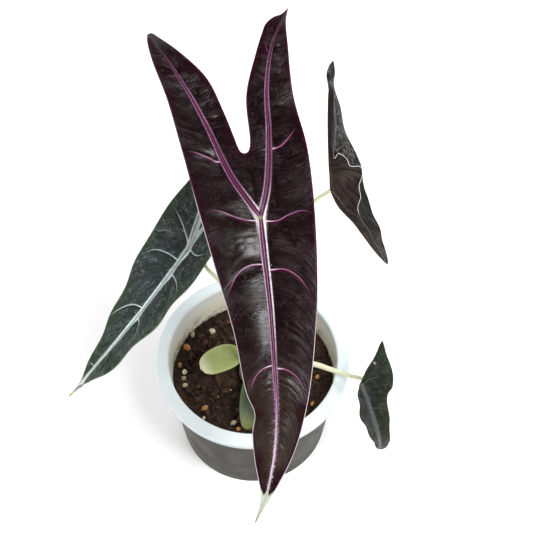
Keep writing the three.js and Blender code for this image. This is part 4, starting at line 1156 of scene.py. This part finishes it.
def build_large_leaves():
    """The four blades and their stalks."""
    pale = stalk_look("pale_stalk", (200, 196, 150), (236, 238, 206), (216, 226, 180), (216, 214, 174))
    dark = stalk_look("dark_stalk", (150, 140, 92), (140, 130, 90), (120, 96, 84), (84, 56, 52))
    parts = [("front", FRONT_LEAF, FRONT_STALK, FRONT_TONE, "blade_dark", dark, "stalk_dark"),
             ("left", LEFT_LEAF, LEFT_STALK, LEFT_TONE, "blade_green", pale, "stalk_pale"),
             ("right", RIGHT_LEAF, RIGHT_STALK, RIGHT_TONE, "blade_brown", pale, "stalk_pale"),
             ("low", LOW_LEAF, LOW_STALK, LOW_TONE, "blade_small", pale, "stalk_pale")]
    for key, leaf, stalk, tone, slot, stalk_skin, stalk_slot in parts:
        blade, junction, normal = build_blade(f"leaf_{key}", leaf, leaf_look(f"leaf_{key}_skin", tone))
        stands_for(blade, f"blade_{key}", slot)
        stem = build_stalk(f"stalk_{key}", stalk, leaf, junction, normal, stalk_skin)
        stands_for(stem, f"petiole_{key}", stalk_slot)


def build_short_leaves():
    """The pale scale leaf and the young leaf."""
    pale = short_leaf_look("scale_skin", (136, 148, 84), (164, 174, 110), (226, 226, 190), (168, 180, 118))
    stands_for(build_short_leaf("scale_leaf_skin", CATAPHYLL, pale), "cataphyll", "scale_leaf")
    green = short_leaf_look("young_skin", (46, 58, 48), (74, 94, 58), (116, 120, 58), (68, 88, 56))
    stands_for(build_short_leaf("young_leaf_skin", YOUNG_LEAF, green), "young_leaf", "young_leaf")


# Pale and orange granules that stand out on the mix: x, y and size
CREAM_GRAINS = [(-38.9, 27.3, 2.2), (-26.6, 29, 2.3), (-43.2, 0.2, 1.9), (-43.7, -4.4, 1.9),
                (-42.8, -9.7, 1.9), (-12.1, -35.4, 2.4)]
ORANGE_GRAINS = [(-42.3, 17, 2.4), (-46.5, 4.4, 1.8), (-29.7, -25.9, 2.2)]


def build_crown():
    """The short stem that everything grows from."""
    crown = make_object("crown_stem", *turned(CROWN_PROFILE, 64, CROWN_CENTRE), crown_look())
    stands_for(crown, "crown", "crown")


def build_mix_and_grains():
    """The mix with its bark chips and granules."""
    stands_for(build_mix(mix_look()), "potting_mix", "mix")
    bark = grain_look("bark", (32, 21, 16), (84, 60, 45))
    cream = grain_look("cream_mineral", (150, 136, 104), (226, 218, 190))
    clay = grain_look("orange_mineral", (120, 74, 40), (206, 150, 96))
    pale_places = CREAM_GRAINS + scattered(16, 0.9, 1.8, 7)
    warm_places = ORANGE_GRAINS + scattered(10, 0.9, 1.6, 9)
    for grains in (("bark_chips", scattered(420, 1.0, 3.0, 5), (1.0, 0.7, 0.4), 0.6, 21, bark),
                   ("cream_granules", pale_places, (1.0, 0.85, 0.7), 0.3, 22, cream),
                   ("orange_granules", warm_places, (1.0, 0.85, 0.7), 0.3, 23, clay)):
        stands_for(lumps(*grains), None, "mix")


bpy.context.scene.view_settings.view_transform = "Standard"
build_large_leaves()
build_short_leaves()
build_crown()
build_mix_and_grains()
stands_for(build_pot(pot_look()), "pot", "pot_plastic")
build_floor()
add_world(0.85, 0.03)
add_light("left_soft_light", (-1000, -300, 800), (900, 900), 7)
add_light("right_soft_light", (1000, -300, 800), (900, 900), 7)
add_light("back_soft_light", (0, 950, 1000), (900, 600), 7)
add_light("sheen_light", (355, -430, 1030), (280, 380), 8.8, aim=(0, -40, 235))
add_camera()
